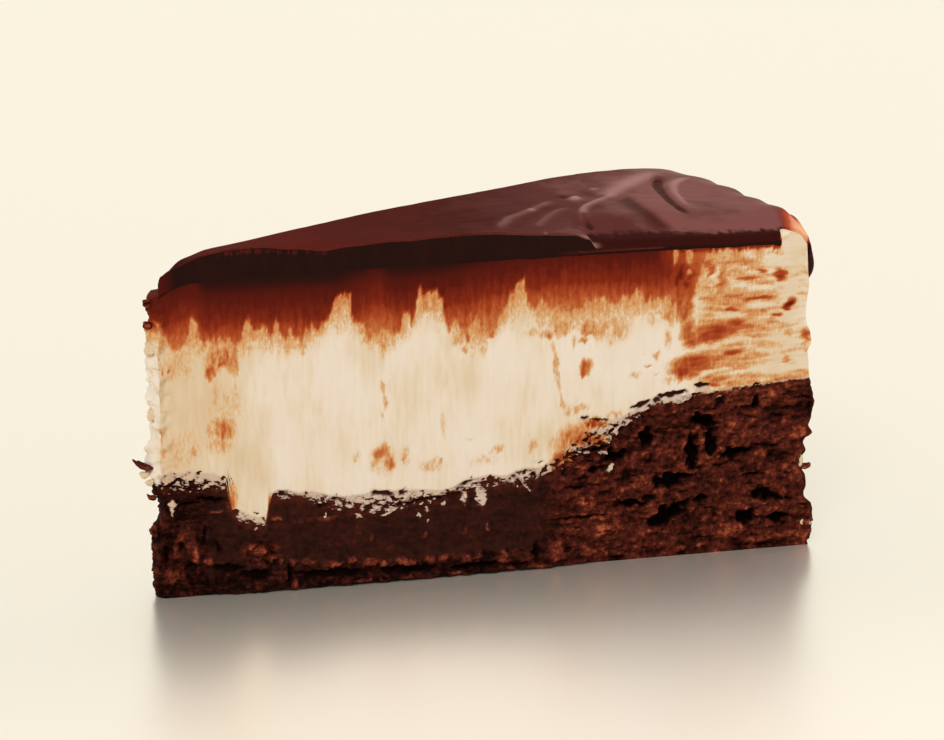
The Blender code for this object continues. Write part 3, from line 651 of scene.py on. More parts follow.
def place_points(piece, places):
    """Move every point to its place, given in millimetres from the cake's centre."""
    piece.data.vertices.foreach_set("co", ((places + CENTRE) * MM).astype(np.float32).ravel())
    piece.data.update()


def keep_values(piece, **fields):
    """Keep a value for each point of the mesh, for the materials to read."""
    for name, values in fields.items():
        attribute = piece.data.attributes.new(name, "FLOAT", "POINT")
        attribute.data.foreach_set("value", np.asarray(values, np.float32))


def finish_piece(piece, node, materials):
    """Face the piece outwards, shade it smooth, give it its finish and set it on the slice."""
    bpy.ops.object.select_all(action="DESELECT")
    piece.select_set(True)
    bpy.context.view_layer.objects.active = piece
    bpy.ops.object.mode_set(mode="EDIT")
    bpy.ops.mesh.select_all(action="SELECT")
    bpy.ops.mesh.normals_make_consistent(inside=False)
    bpy.ops.object.mode_set(mode="OBJECT")
    bpy.ops.object.shade_smooth_by_angle(angle=math.radians(SMOOTH_ANGLE))
    for material in materials:
        piece.data.materials.append(material)
    if node:
        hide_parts(node)
    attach(piece, "root")


def hidden_holes():
    """Holes in the crumb of the hidden cut, spread over its thick part."""
    generator = np.random.default_rng(HIDDEN_SEED)
    start, end = HIDDEN_SPAN
    holes = []
    for index in range(HIDDEN_HOLES):
        along = start + (end - start) * (index + 0.5) / HIDDEN_HOLES
        height = generator.uniform(HIDDEN_LOWEST, outline(BASE_TOP, np.array([along]))[0] - HIDDEN_LOWEST)
        half_length, half_height = generator.uniform(1.6, 4), generator.uniform(1, 2)
        holes.append((along, height, half_length, half_height, generator.uniform(-30, 30), HIDDEN_DEPTH))
    return holes


def hidden_smears():
    """Smears and stains of the hidden cut's cream."""
    generator = np.random.default_rng(HIDDEN_SEED + 1)
    smears = []
    for _ in range(HIDDEN_SMEARS):
        along = generator.uniform(*HIDDEN_SMEAR_SPAN)
        height = generator.uniform(*HIDDEN_SMEAR_HEIGHTS)
        flat = along > HIDDEN_FLAT_START
        half_length = generator.uniform(1.5, 5) if flat else generator.uniform(0.4, 2.2)
        half_height = generator.uniform(0.4, 1.4) if flat else generator.uniform(1, 4)
        thick = generator.uniform(0.08, 0.34) + (0.1 if flat else 0)
        smears.append((along, height, half_length, half_height, generator.uniform(-8, 8), thick))
    return smears


def foot_out(along, height):
    """How far the foot of the base stands out from the shown cut."""
    span = step(*FOOT_RISE, along) * (1 - step(*FOOT_FALL, along))
    return FOOT_REACH * span * (1 - step(0, FOOT_HEIGHT, height))


def outward(along, across, front, back, rim, point):
    """Direction out of the slice in plan, averaged where two walls meet."""
    angle = across * CUT_ANGLE
    x = -math.sin(CUT_ANGLE) * back + np.cos(angle) * rim - np.cos(angle) * point
    y = math.cos(CUT_ANGLE) * back - 1.0 * front + np.sin(angle) * rim - np.sin(angle) * point
    length = np.hypot(x, y)
    return x / length, y / length


def warped(along, y, height, width, reach, seed):
    """A place moved about by noise, so that an outline drawn there comes out ragged."""
    widths = (width, width, width)
    across = rough(along, y, height, widths, seed)
    upwards = rough(along, y, height, widths, seed + 1)
    return along + reach * across, height + reach * upwards


def steepness(radius, reach=0.1):
    """Slope of the boundary between the base and the cream."""
    return (outline(BASE_TOP, radius + reach) - outline(BASE_TOP, radius - reach)) / (2 * reach)


def boundary(x, y, height):
    """How far above the layers' boundary a place lies, and how steep that is there, from 0 to 1."""
    radius = np.hypot(x, y)
    above = height - outline(BASE_TOP, radius)
    above = above / np.hypot(1, steepness(radius) * (1 - step(0.3, 2.5, np.abs(above))))
    return above, step(0.6, 1.8, np.abs(steepness(radius, 0.7)))


def seam_distance(x, y, along, height, front):
    """How far above the crumb a place lies, with the ragged way the two layers reach into each other."""
    above, steep = boundary(x, y, height)
    reach = np.where(front, outline(CRACKLE_REACH, along), 1.5)
    ragged = rugged(x, y, height, (1.2, 1.2, 0.65), 21, 3)
    broken = rugged(x, y, height, (0.8, 0.8, 0.45), 57, 2)
    close = 1 - step(0.7, 1.7, np.abs(above) / reach)
    seam = above + 1.4 * reach * ragged * close * (1 - 0.9 * steep)
    bit_x, bit_z = warped(along, y, height, 0.8, 0.6, 51)
    cracked = step(-5, -4, above) * (1 - step(0.45, 1.0, above / reach)) * (1 - steep) * front
    for bits, side in ((CREAM_BITS, 1), (CRUMB_BITS, -1)):
        bit = thickest([(*form, 1.0) for form in bits], bit_x, bit_z, (0.4, 1.4)) * front
        seam = np.where(bit > 0.05, side * np.maximum(side * seam, 2.2 * bit - 1.2 + 1.5 * broken), seam)
        cracked = np.maximum(cracked, step(0, 0.3, side * bit))
    web = rugged(x, y, height, (1.5, 1.5, 0.75), 58, 2)
    web = (1 - step(0.02, 0.16, np.abs(web))) * (1 - step(0.3, 1.0, -above / reach)) * step(0.9, 1.4, reach)
    web = step(0.55, 0.85, web * (1 - steep)) * (front & (above < 0))
    seam = seam + web * (0.35 - np.minimum(seam, 0.35))
    return seam, cracked


def openness(along, height, front, rim, point):
    """How open the crumb is: 0 in smooth fudge and 1 in the loose crumb towards the rim."""
    loose = step(*LOOSE_START, along)
    loose = np.maximum(loose, 0.75 * (1 - step(*POINT_REACH, along)))
    loose = np.maximum(loose, 0.7 * (1 - step(*LOOSE_FOOT, height)))
    cluster = thickest((LOOSE_CLUSTER,), along, height, (0.5, 1.2))
    loose = np.maximum(loose, np.where(front, cluster, 0))
    loose = np.maximum(loose, 0.12)
    loose = np.where(rim, 0.55, loose)
    return np.where(point, 0.8, loose)


def smear_thickness(along, y, height, front, back, rim):
    """How thick the ganache dragged over the cream is, from 0 to 1."""
    sweep = step(*SWEEP_START, along)
    upright = rough(along, y, height, (1.3, 1.3, 6.0), 31)
    wisps = rugged(along, y, height, (0.9, 0.9, 3.4), 32, 3)
    flat = rough(along, y, height, (5.0, 5.0, 0.9), 33)
    brushed = rugged(along, y, height, (3.2, 3.2, 0.8), 34, 3)
    x = along + (1 - sweep) * 0.4 * upright + sweep * (1.2 * flat + 0.6 * brushed)
    z = height + (1 - sweep) * (0.7 * upright + 0.7 * wisps) + sweep * 0.4 * brushed
    wander = rugged(along, 0 * along, 0 * along, (6.0, 1, 1), 36, 3)
    hidden_edge = HIDDEN_EDGE + HIDDEN_EDGE_WANDER * wander + 9 * step(100, 106, along)
    edge = np.where(front, outline(SMEAR_EDGE, along), hidden_edge)
    above = np.where(rim, -9, height - edge + 1.3 * wisps)
    lifted = height - outline(SMEAR_LIFT, along)
    dragged = outline(SMEAR_FADE, lifted) * step(-1.1, 1.3, above)
    even_edge = sum(outline(SMEAR_EDGE, along + shift) for shift in FILM_SHIFTS) / len(FILM_SHIFTS)
    even_edge = np.where(front, even_edge, hidden_edge)
    film = 0.24 * step(-7, 2.0, height - even_edge + 1.3 * wisps + 1.4 * upright) * ~rim
    dragged = np.minimum(dragged, outline(SMEAR_LIMIT, along + 0.8 * upright))
    stains = np.where(front, thickest(SMEARS, x, z, (0.25, 1.3)), 0)
    stains = np.where(back, thickest(hidden_smears(), x, z, (0.25, 1.3)), stains)
    tint = 0.16 + 0.09 * flat + 0.07 * brushed + 0.09 * rough(along, y, height, (9, 9, 2.2), 37)
    tint = tint - 0.10 * step(114, 124, along)
    stains = np.maximum(stains, np.where(rim, 0.6, 1.0) * step(102, 107, along) * np.clip(tint, 0.02, 0.34))
    stains = stains * (1 + (1 - sweep) * 0.5 * wisps + sweep * (0.12 + 0.3 * brushed))
    wiped = thickest([(*streak, 1.0) for streak in CLEAN_STREAKS], x, z, (0.4, 1.3)) * front
    filling_top = outline(FILLING_TOP, along)
    under = 0.6 * step(-1.3, 0.1, height - filling_top + 0.9 * wisps) * (front & (along < CORNER_START))
    dragged = np.maximum(dragged, under)
    dragged = dragged * (1 - 0.8 * wiped * step(97, 99, along))
    thick = np.maximum(np.maximum(dragged, film), stains * (1 - 0.65 * wiped))
    return np.clip(thick, 0, 1), sweep


def wall_fields(along, across, height, x, y):
    """Relief and finish of the walls: how deep each place lies, and the values for the materials."""
    front = (across < TOUCH) & (along < CAKE_RADIUS + 1)
    back = across > 1 - TOUCH
    rim = (along > CAKE_RADIUS - TOUCH) & ~front & ~back
    point = (along < TOUCH) & ~front & ~back
    above, steep = boundary(x, y, height)
    seam, cracked = seam_distance(x, y, along, height, front)
    veins = 1 - step(0.01, 0.1, np.abs(rough(x, y, height, (1.6, 1.6, 0.7), 29)))
    crackle = 0.25 * veins * cracked * step(-0.6, 0.1, above)
    crumb = 1 - step(-0.15, 0.15, seam)
    loose = openness(along, height, front, rim, point)
    hole_x, hole_z = warped(along, y, height, 1.5, 1.3, 53)
    hole_x, hole_z = warped(hole_x, y, hole_z, 0.6, 0.45, 48)
    slit_x, slit_z = warped(along, y, height, 0.8, 0.4, 55)
    hollow = np.where(front, thickest(CRUMB_HOLES, hole_x, hole_z, (0.4, 1.2)), 0)
    hollow = np.where(front, np.maximum(hollow, thickest(CREVICES, slit_x, slit_z, (0.5, 1.3))), hollow)
    hollow = np.where(back, thickest(hidden_holes(), hole_x, hole_z, (0.5, 1.15)), hollow)
    rubbed = np.where(front, thickest(REDDISH_AND_HIGHLIT_CRUMBS, slit_x, slit_z, (0.3, 1.2)), 0)
    # Rings round the holes: reddish flecks and a painted highlight on the ledges
    whole_holes = [(*form, 1.0) for *form, _ in CRUMB_HOLES]
    around = np.where(front, thickest(whole_holes, hole_x, hole_z, (1.0, 2.0)), 0)
    patchy = step(-0.1, 0.5, rugged(x, y, height, (1.4, 1.4, 0.7), 50, 3))
    around = around * (1 - step(0.05, 0.5, hollow)) * patchy
    rubbed = np.maximum(rubbed, 0.75 * around)
    grain_depth = grains(x, y, height, (1.3, 1.3, 1.0), 23)
    fine = rough(x, y, height, (0.55, 0.55, 0.45), 24)
    coarse = rugged(x, y, height, (4.0, 4.0, 2.4), 25, 3)
    layered = rugged(x, y, height, (4.2, 4.2, 1.0), 26, 3)
    cracks = step(0.36, 0.68, layered) * step(0.3, 0.8, loose)
    bumps = loose * (0.7 * grain_depth - 0.5 * coarse + 0.2 * fine + 0.5 * cracks) - 0.4 * rubbed
    bumps = bumps - 0.5 * rubbed * (1 - step(6, 12, height)) * (1 - step(40, 70, along))
    crumb_depth = hollow + bumps + (1 - loose) * (0.04 * fine + 0.12 * coarse)
    edge_lumps = 1 - step(*POINT_REACH, along)
    ridges = rough(x, y, height, (1.4, 1.4, 6.0), 30) * (1 - step(12, 16, height)) * edge_lumps
    crumb_depth = crumb_depth - 1.3 * ridges
    low = (1 - step(*LOOSE_FOOT, height)) * (1 - step(50, 90, along))
    dimmed = 0.22 * np.maximum(1 - step(6, 14, along), low)
    thick, sweep = smear_thickness(along, y, height, front, back, rim)
    knife = rough(x, y, height, (0.9, 0.9, 14.0), 27)
    raised = step(0.2, 0.9, thick) * (1 - step(-1.6, -0.3, height - outline(FILLING_TOP, np.hypot(x, y))))
    uneven = 0.08 * rough(x, y, height, (5.0, 5.0, 4.0), 38) + 0.03 * knife - 0.15 * raised
    lumps = np.where(point, 1, 1 - step(0.5, 3, along)) * (1 - step(56, 60, height))
    uneven = uneven + 1.2 * lumps * rugged(x, y, height, (3.0, 3.0, 2.2), 28, 3)
    cream_depth = uneven + 0.8 * hollow + 0.5 * crackle
    lip = 0.15 * np.exp(-((seam / 0.3) ** 2)) * (1 - step(2.5, 4, np.abs(above))) * (1 - steep)
    depth = crumb * (crumb_depth + 0.2) + (1 - crumb) * cream_depth + lip
    thick = np.maximum(thick, 0.2 * steep * front * (1 - step(0, 0.8, above + 0.5 * fine)))
    fields = {
        "seam": seam,
        # Depth of holes, crevices and cracks, which the materials paint dark as shade
        "hollow": np.clip(np.maximum(hollow / 1.4, crackle * 0.8) + 0.3 * cracks * crumb, 0, 1),
        # Painted light and shade: raised crumb and ridges lighter, sunken crumb darker; also darker towards
        # the point and along the foot
        "relief": np.clip(
            0.32 + 0.25 * step(70, 84, along) - 0.8 * (bumps - 0.22 * loose) + 0.7 * ridges - dimmed, 0, 1
        ),
        "loose": loose,
        # Reddish crumbs and painted highlights on raised crumbs
        "rubbed": rubbed,
        "smear": thick,
        "sweep": sweep,
        "cracked": cracked,
    }
    return depth, (front, back, rim, point), fields


def round_map(piece, along, across, height):
    """A map that unrolls the walls: distance round the slice against height, in millimetres."""
    rim_length = CAKE_RADIUS * CUT_ANGLE
    on_back = across > 1 - TOUCH
    on_point = (along < TOUCH) & (across > TOUCH) & ~on_back
    walk = along + rim_length * across
    walk = np.where(on_back, CAKE_RADIUS * 2 + rim_length - along, walk)
    total = 2 * CAKE_RADIUS + rim_length + POINT_WIDTH
    walk = np.where(on_point, total - POINT_WIDTH * across, walk)
    corners, starts = read_corners(piece.data)
    places = walk[corners]
    furthest = np.repeat(np.maximum.reduceat(places, starts), np.diff(np.append(starts, len(corners))))
    places = np.where(furthest - places > total / 2, places + total, places)
    keep_map(piece, places, height[corners])


def wall_piece(name, grid, bottom_of, top_of, raised, tuck):
    """One of the two cut layers, raised near its top and tucked in where it runs behind the other."""
    sides, rim_rows, point_rows, levels = grid
    piece = cut_cube(name, sides, rim_rows, point_rows, levels)
    along, across, level = read_places(piece.data).T
    along = along * CAKE_RADIUS
    plain_x, plain_y = plan_place(along, across, 0, 0)
    radius = np.hypot(plain_x, plain_y)
    bottom = bottom_of(radius)
    rise = raised(plain_x, plain_y) * step(RAISE_START, 1, level)
    height = bottom + level * (top_of(radius) - bottom) + rise
    depth, walls, fields = wall_fields(along, across, height, plain_x, plain_y)
    sunk = np.sin(np.pi * np.clip(height / BASE_HEIGHT, 0, 1))
    rim_out = outline(RIM_PROFILE, height) + 0.7 * sunk * rough(plain_x, plain_y, height, (5, 5, 5), 2)
    lumps = rough(0 * plain_x, plain_y, height, (3, 3, 3), 3)
    point_out = outline(POINT_PROFILE, height) + 0.6 * sunk * lumps
    rim_out = rim_out + outline(RIM_LUMPS, height) * (1 - step(0, RIM_LUMP_REACH, plain_y))
    x, y = plan_place(along, across, point_out, rim_out)
    out_x, out_y = outward(along, across, *walls)
    tucked = 1 - step(0, 2 * LAYER_LAP, boundary(plain_x, plain_y, height)[0] + 2 * LAYER_LAP)
    out = -depth + np.where(walls[0], foot_out(along, height), 0) - tuck * tucked
    out = out * step(0, 0.3, height)
    places = np.stack((x + out * out_x, y + out * out_y, height), 1)
    place_points(piece, places)
    keep_values(piece, **fields)
    round_map(piece, along, across, height)
    return piece


def tip_fall(x, y):
    """How much lower the tip's far side lies than its shown edge."""
    return TIP_FALL * (1 - step(1, TIP_LENGTH, x)) * step(0.3, 4.5, y)


def make_base(material):
    piece = wall_piece(
        "fallen_base", BASE_GRID, np.zeros_like, lambda radius: outline(BASE_TOP, radius), lambda x, y: 0, 0
    )
    finish_piece(piece, "brownie_base", [material])


def corner_rise(x, y):
    """How much higher the cream stands at the corner of the shown cut and the rim, where it is bare."""
    start = CORNER_TOP[0][0]
    over = outline(CORNER_TOP, x) - outline(FILLING_TOP, x)
    return np.clip(over, 0, 9) * step(start - 0.1, start, x) * (1 - step(2.5, 5, y))


def make_cream(material):
    piece = wall_piece(
        "cream",
        CREAM_GRID,
        lambda radius: outline(BASE_TOP, radius) - LAYER_LAP * np.hypot(1, steepness(radius)),
        lambda radius: outline(FILLING_TOP, radius) + FILLING_RAISE,
        lambda x, y: corner_rise(x, y) - tip_fall(x, y),
        LAYER_TUCK,
    )
    finish_piece(piece, "cream_filling", [material])


def mark_height(x, y, height, left_width, right_width, path):
    """Height of a soft ridge or furrow along a path: steep on one flank and gentle on the other."""
    nearest = np.full(len(x), 1e9)
    side = np.zeros(len(x))
    place = np.zeros(len(x))
    count = len(path) - 1
    for index, ((x0, y0), (x1, y1)) in enumerate(zip(path, path[1:])):
        dx, dy = x1 - x0, y1 - y0
        share = np.clip(((x - x0) * dx + (y - y0) * dy) / (dx * dx + dy * dy), 0, 1)
        gap_x, gap_y = x - x0 - share * dx, y - y0 - share * dy
        distance = np.hypot(gap_x, gap_y)
        closer = distance < nearest
        nearest = np.where(closer, distance, nearest)
        side = np.where(closer, dx * gap_y - dy * gap_x, side)
        place = np.where(closer, (index + share) / count, place)
    width = np.where(side > 0, left_width, right_width)
    ends = step(0, 0.2, place) * (1 - step(0.8, 1, place))
    return height * ends * np.exp(-((nearest / width) ** 2))


def topping_top(x, y, across):
    """The spread surface: a low dome with the ridges, lumps and waves that the spatula left."""
    radius = np.hypot(x, y)
    height = outline(TOPPING_TOP, radius) + outline(TOPPING_LEAN, radius) * (2 * across - 1)
    waved = step(10, 40, radius) * (1 - step(118, CAKE_RADIUS, radius))
    height = height + WAVE_HEIGHT * waved * rough(x, y, 0 * x, (17, 17, 17), 1)
    height = height + RIPPLE_HEIGHT * waved * rough(x, y, 0 * x, (3.5, 2, 3), 41)
    swirl = sum(mark_height(x, y, *mark) for mark in SPATULA_MARKS)
    swirl = swirl + sum(
        rise * np.exp(-(((x - centre_x) ** 2 + (y - centre_y) ** 2) / size**2))
        for centre_x, centre_y, size, rise in TOPPING_LUMPS
    )
    height = height + MARK_RELIEF * swirl
    rolled = step(ROLL_START, ROLL_START + ROLL_BLEND, x + 0.5 * np.minimum(y, 4))
    height = height - ROLL_DEPTH * rolled * (1 - step(0, ROLL_WIDTH, y))
    height = height - EDGE_DEPTH * rolled * (1 - step(0, EDGE_WIDTH, y))
    lip = step(ROLL_START - LIP_LENGTH, ROLL_START, x) * (1 - rolled)
    height = height - LIP_DEPTH * lip * (1 - step(0, LIP_WIDTH, y))
    height = height - CRISP_DEPTH * (1 - rolled) * (1 - step(0, CRISP_WIDTH, y))
    for centre, width, depth in EDGE_DENTS:
        height = height - depth * np.exp(-(((x - centre) / width) ** 2)) * (1 - step(0, 4, y))
    # A raised burr along the cut's top edge, which also carries a painted highlight
    burr = (1 - rolled) * step(8, 14, x) * np.exp(-(((y - 0.45) / 0.3) ** 2))
    height = height + burr * (0.12 + 0.2 * rough(x, 0 * x, 0 * x, (0.8, 1, 1), 42))
    for centre, half, rise in RIM_BUMPS:
        bump = np.exp(-(((y - centre) / half) ** 2)) - 0.12
        height = height + rise * step(CAKE_RADIUS - END_DEPTH, CAKE_RADIUS - 1, radius) * bump
    # Painted highlight on the lip where the rolled edge starts
    lip_highlight = np.exp(-(((x - ROLL_START - 0.4) / 2.2) ** 2)) * np.exp(-(((y - 0.5) / 0.45) ** 2))
    # Painted shade: a dark band along the rolled edge, without the painted sheen
    dark_width = 6.5 - 2.2 * step(98, 106, x)
    frayed = 1.2 * rough(x, y, 0 * x, (1.6, 0.9, 1), 47) + 0.9 * rough(x, 0 * x, 0 * x, (0.6, 1, 1), 49)
    spread = 1 - rolled * (1 - step(0.2, 1, (y + frayed) / dark_width))
    return height, burr, np.maximum(spread, lip_highlight), swirl + 0.7 * lip_highlight


def make_topping(materials):
    columns, rows, levels = TOPPING_GRID
    piece = cut_slab("ganache", columns, rows, levels)
    share, across, level = read_places(piece.data).T
    walk = share * (CAKE_RADIUS + HANG_LENGTH)
    crown = crown_at(across)
    setback = TOPPING_SETBACK + POINT_BULGE * crown + TOPPING_SLANT * across
    along = setback + np.minimum(walk, CAKE_RADIUS) * (1 - setback / CAKE_RADIUS)
    hang = np.clip((walk - CAKE_RADIUS) / HANG_LENGTH, 0, 1)
    recess = CORNER_DEPTH / (CAKE_RADIUS * math.sin(CUT_ANGLE))
    recess = recess * step(CORNER_START - 0.1, CORNER_START + 0.5, along) * (1 - 0.8 * step(0, 0.35, hang))
    on_front = across < TOUCH
    on_cuts = (on_front & (along < CORNER_START)) | (across > 1 - TOUCH)
    across = recess + (1 - recess) * across
    inner = outline(RIM_PROFILE, np.array([float(HANG_HEIGHT)]))[0] + SKIN_GAP
    bottom_x, bottom_y = plan_place(along, across, 0, inner)
    bottom = outline(FILLING_TOP, np.hypot(bottom_x, bottom_y)) - LAYER_LAP
    top_x, top_y = plan_place(along, across, 0, 0.3)
    top, burr, spread, swirl = topping_top(top_x, top_y, across)
    top = top - tip_fall(top_x, top_y)
    bottom = bottom - tip_fall(bottom_x, bottom_y)
    edge = HANG_HEIGHT + HANG_WANDER * rough(bottom_x, bottom_y, 0 * along, (11, 11, 11), 8)
    edge = edge + (DRIP_HEIGHT - edge) * (1 - step(*DRIP_FADE, bottom_y))
    bulge = SKIN_BULGE * np.sin(np.pi * (0.25 + 0.75 * hang))
    bulge = bulge + DRIP_BULGE * 4 * hang**2 * (1 - hang**2) * (1 - step(4, 9, bottom_y))
    rounded = (1 - 0.85 * hang**4) * (0.3 + 0.7 * step(0.4, 2.6, bottom_y))
    skin_x, skin_y = plan_place(along, across, 0, inner + (SKIN_THICKNESS + bulge) * rounded)
    hanging = hang > 0
    top_x, top_y = np.where(hanging, skin_x, top_x), np.where(hanging, skin_y, top_y)
    top = np.where(hanging, top + (edge - top) * hang, top)
    bottom = np.where(hanging, bottom + (edge - bottom) * hang, bottom)
    x = bottom_x + level * (top_x - bottom_x)
    y = bottom_y + level * (top_y - bottom_y)
    height = bottom + level * (top - bottom)
    cut = on_front & (level > TOUCH) & (level < 1 - TOUCH)
    drags = rough(along, 0 * along, height, (3, 1, 1.4), 44)
    scratches = rough(along, 0 * along, height, (0.7, 1, 2), 45)
    face = 0.10 * drags + 0.05 * scratches
    # A bead near the cut's lower edge, raised and with a painted highlight
    bead = step(74, 78, along) * (1 - step(96, 99, along)) * np.exp(-(((height - 63.3) / 0.25) ** 2))
    tucked = np.where(on_cuts, 1 - step(0, 0.5, height - bottom), 0)
    y = y + np.where(cut, face - 0.22 * bead, 0) + np.where(on_front, 0.1, -0.1) * tucked
    place_points(piece, np.stack((x, y, height), 1))
    # Painted highlight along the top of the cut face, broken into ticks
    fringe_highlight = step(8, 14, along) * (1 - step(ROLL_START - 4, ROLL_START, along)) * step(0.7, 0.9, level)
    fringe_highlight = fringe_highlight * (1 - 0.5 * step(0.9, 1, level)) * (1 - 0.8 * step(26, 42, along))
    burr = np.where(on_front, fringe_highlight, burr)
    # Painted glow of light through the thin ganache along the rim and at the corner
    rim_line = 0.5 * step(122.5, 126.5, along) * (1 - step(26, 40, top_y))
    corner_line = step(121, 126.5, along + 0.35 * np.clip(6 - top_y, 0, 6)) * (1 - step(6, 15, top_y))
    thin = np.maximum(rim_line, corner_line) * (1 - step(0, 0.15, hang))
    # The painted sheen fades out towards the point, on the hanging skin and down the walls
    spread = spread * step(2, 16, along) * (1 - hang) * (0.3 + 0.7 * step(0.8, 1, level))
    bead = np.where(on_front, bead, 0)
    keep_values(piece, burr=burr, bead=bead, thin=thin, spread=spread, swirl=swirl * (1 - hang))
    finish_piece(piece, "ganache_topping", materials)
    mark_cut_faces(piece, on_cuts & (hang == 0))


def make_bit(name, slot, material, place, size, tilt, seed):
    """A loose crumb or flake that clings to the slice, rough all over."""
    bpy.ops.object.select_all(action="DESELECT")
    bpy.ops.mesh.primitive_ico_sphere_add(subdivisions=4, radius=1, location=(0, 0, 0))
    bit = bpy.context.object
    bit.name = name
    x, y, z = read_places(bit.data).T
    swell = 1 + 0.35 * rugged(x, y, z, (0.9, 0.9, 0.9), seed, 3)
    turn = math.radians(tilt)
    x, y, z = x * swell * size[0], y * swell * size[1], z * swell * size[2]
    z = z + BIT_CURL * x * x / size[0]
    x, z = x * math.cos(turn) - z * math.sin(turn), x * math.sin(turn) + z * math.cos(turn)
    place_points(bit, np.stack((x, y, z), 1) + np.array(place))
    # Raised parts of the bit are painted lighter, a painted highlight
    high = np.clip(0.5 + 1.4 * (swell - 1), 0, 1)
    keep_values(
        bit, seam=0 * x + (9 if slot == "cream" else -9), hollow=0 * x, relief=high, loose=0 * x + 1,
        rubbed=high, smear=0 * x + 0.03, sweep=0 * x, cracked=0 * x,
    )
    corners = read_corners(bit.data)[0]
    keep_map(bit, x[corners], z[corners])
    finish_piece(bit, None, [material])


def make_loose_bits(crumb_material, cream_material):
    for index, (slot, place, size, tilt) in enumerate(LOOSE_BITS):
        material = cream_material if slot == "cream" else crumb_material
        make_bit(f"loose_bit_{index + 1}", slot, material, place, size, tilt, 60 + index)


def mark_cut_faces(piece, on_cuts):
    """Give the second finish to the faces that lie wholly on the two cuts."""
    corners, starts = read_corners(piece.data)
    whole = np.minimum.reduceat(on_cuts[corners].astype(int), starts)
    piece.data.polygons.foreach_set("material_index", whole)


def colour(red, green, blue):
    """A colour of the screen, 0 to 255, as the shader's linear value."""
    values = np.array((red, green, blue)) / 255
    linear = np.where(values <= 0.04045, values / 12.92, ((values + 0.055) / 1.055) ** 2.4)
    return (*linear.tolist(), 1)


def add(tree, kind, values=None, **settings):
    """A node with its settings, and its inputs set to values or linked from other nodes."""
    node = tree.nodes.new(kind)
    for name, value in settings.items():
        setattr(node, name, value)
    for name, value in (values or {}).items():
        if isinstance(value, bpy.types.NodeSocket):
            tree.links.new(value, node.inputs[name])
        else:
            node.inputs[name].default_value = value
    return node


def field(tree, name):
    """One of the values kept on the mesh."""
    return add(tree, "ShaderNodeAttribute", attribute_name=name).outputs["Fac"]


def maths(tree, operation, first, second=0.0, clamp=False):
    """A sum, product or other result of two values."""
    node = add(tree, "ShaderNodeMath", {0: first, 1: second}, operation=operation, use_clamp=clamp)
    return node.outputs[0]


def swing(tree, value, share):
    """A value from 0 to 1 as a share that swings evenly below and above nought."""
    return maths(tree, "MULTIPLY", maths(tree, "SUBTRACT", value, 0.5), share)


def between(tree, value, low, high, start=0.0, end=1.0):
    """A value's smooth passage from start to end as it goes from low to high."""
    values = {"Value": value, "From Min": low, "From Max": high, "To Min": start, "To Max": end}
    return add(tree, "ShaderNodeMapRange", values, interpolation_type="SMOOTHSTEP").outputs["Result"]


def swell(tree, value, rise, fall):
    """A value's rise over one stretch, which fades to nought over another."""
    return maths(tree, "MULTIPLY", between(tree, value, *rise), between(tree, value, *fall, 1.0, 0.0))


def blend(tree, share, first, second):
    """Mix two colours."""
    node = add(tree, "ShaderNodeMix", {"Factor": share}, data_type="RGBA", clamp_factor=True)
    for socket, value in ((node.inputs[6], first), (node.inputs[7], second)):
        if isinstance(value, bpy.types.NodeSocket):
            tree.links.new(value, socket)
        else:
            socket.default_value = value
    return node.outputs[2]


def ramp(tree, value, stops):
    """A colour ramp through its stops."""
    node = add(tree, "ShaderNodeValToRGB", {"Fac": value})
    elements = node.color_ramp.elements
    stops = [(position, colour(*tone)) for position, tone in stops]
    elements[0].position, elements[0].color = stops[0]
    elements[1].position, elements[1].color = stops[-1]
    for position, tone in stops[1:-1]:
        element = elements.new(position)
        element.color = tone
    return node.outputs["Color"]


def grain(tree, vector, scale, detail=4.0, roughness=0.6, stretch=(1, 1, 1)):
    """Noise over the object's own millimetres, finer along the axes with a larger stretch."""
    mapped = add(tree, "ShaderNodeMapping", {"Vector": vector, "Scale": stretch}).outputs["Vector"]
    values = {"Vector": mapped, "Scale": scale, "Detail": detail, "Roughness": roughness}
    return add(tree, "ShaderNodeTexNoise", values).outputs["Fac"]


def new_group(name, inputs, outputs):
    """A node group with named inputs and outputs."""
    group = bpy.data.node_groups.new(name, "ShaderNodeTree")
    for sockets, in_out in ((inputs, "INPUT"), (outputs, "OUTPUT")):
        for socket, kind in sockets.items():
            group.interface.new_socket(name=socket, in_out=in_out, socket_type=kind)
    return group, group.nodes.new("NodeGroupInput").outputs, group.nodes.new("NodeGroupOutput").inputs


def place_group(tree, group, values):
    """A node group placed in a material with its own values."""
    return add(tree, "ShaderNodeGroup", values, node_tree=group).outputs


def new_material(name):
    """A material, its node tree and its shader."""
    material = bpy.data.materials.new(name)
    material.use_nodes = True
    tree = material.node_tree
    return material, tree, tree.nodes["Principled BSDF"]


def roughen(tree, surface, strength, depth, height):
    """Give a shader its fine relief, with its depth in millimetres."""
    values = {"Strength": strength, "Distance": depth * MM, "Height": height}
    bumped = add(tree, "ShaderNodeBump", values)
    tree.links.new(bumped.outputs["Normal"], surface.inputs["Normal"])


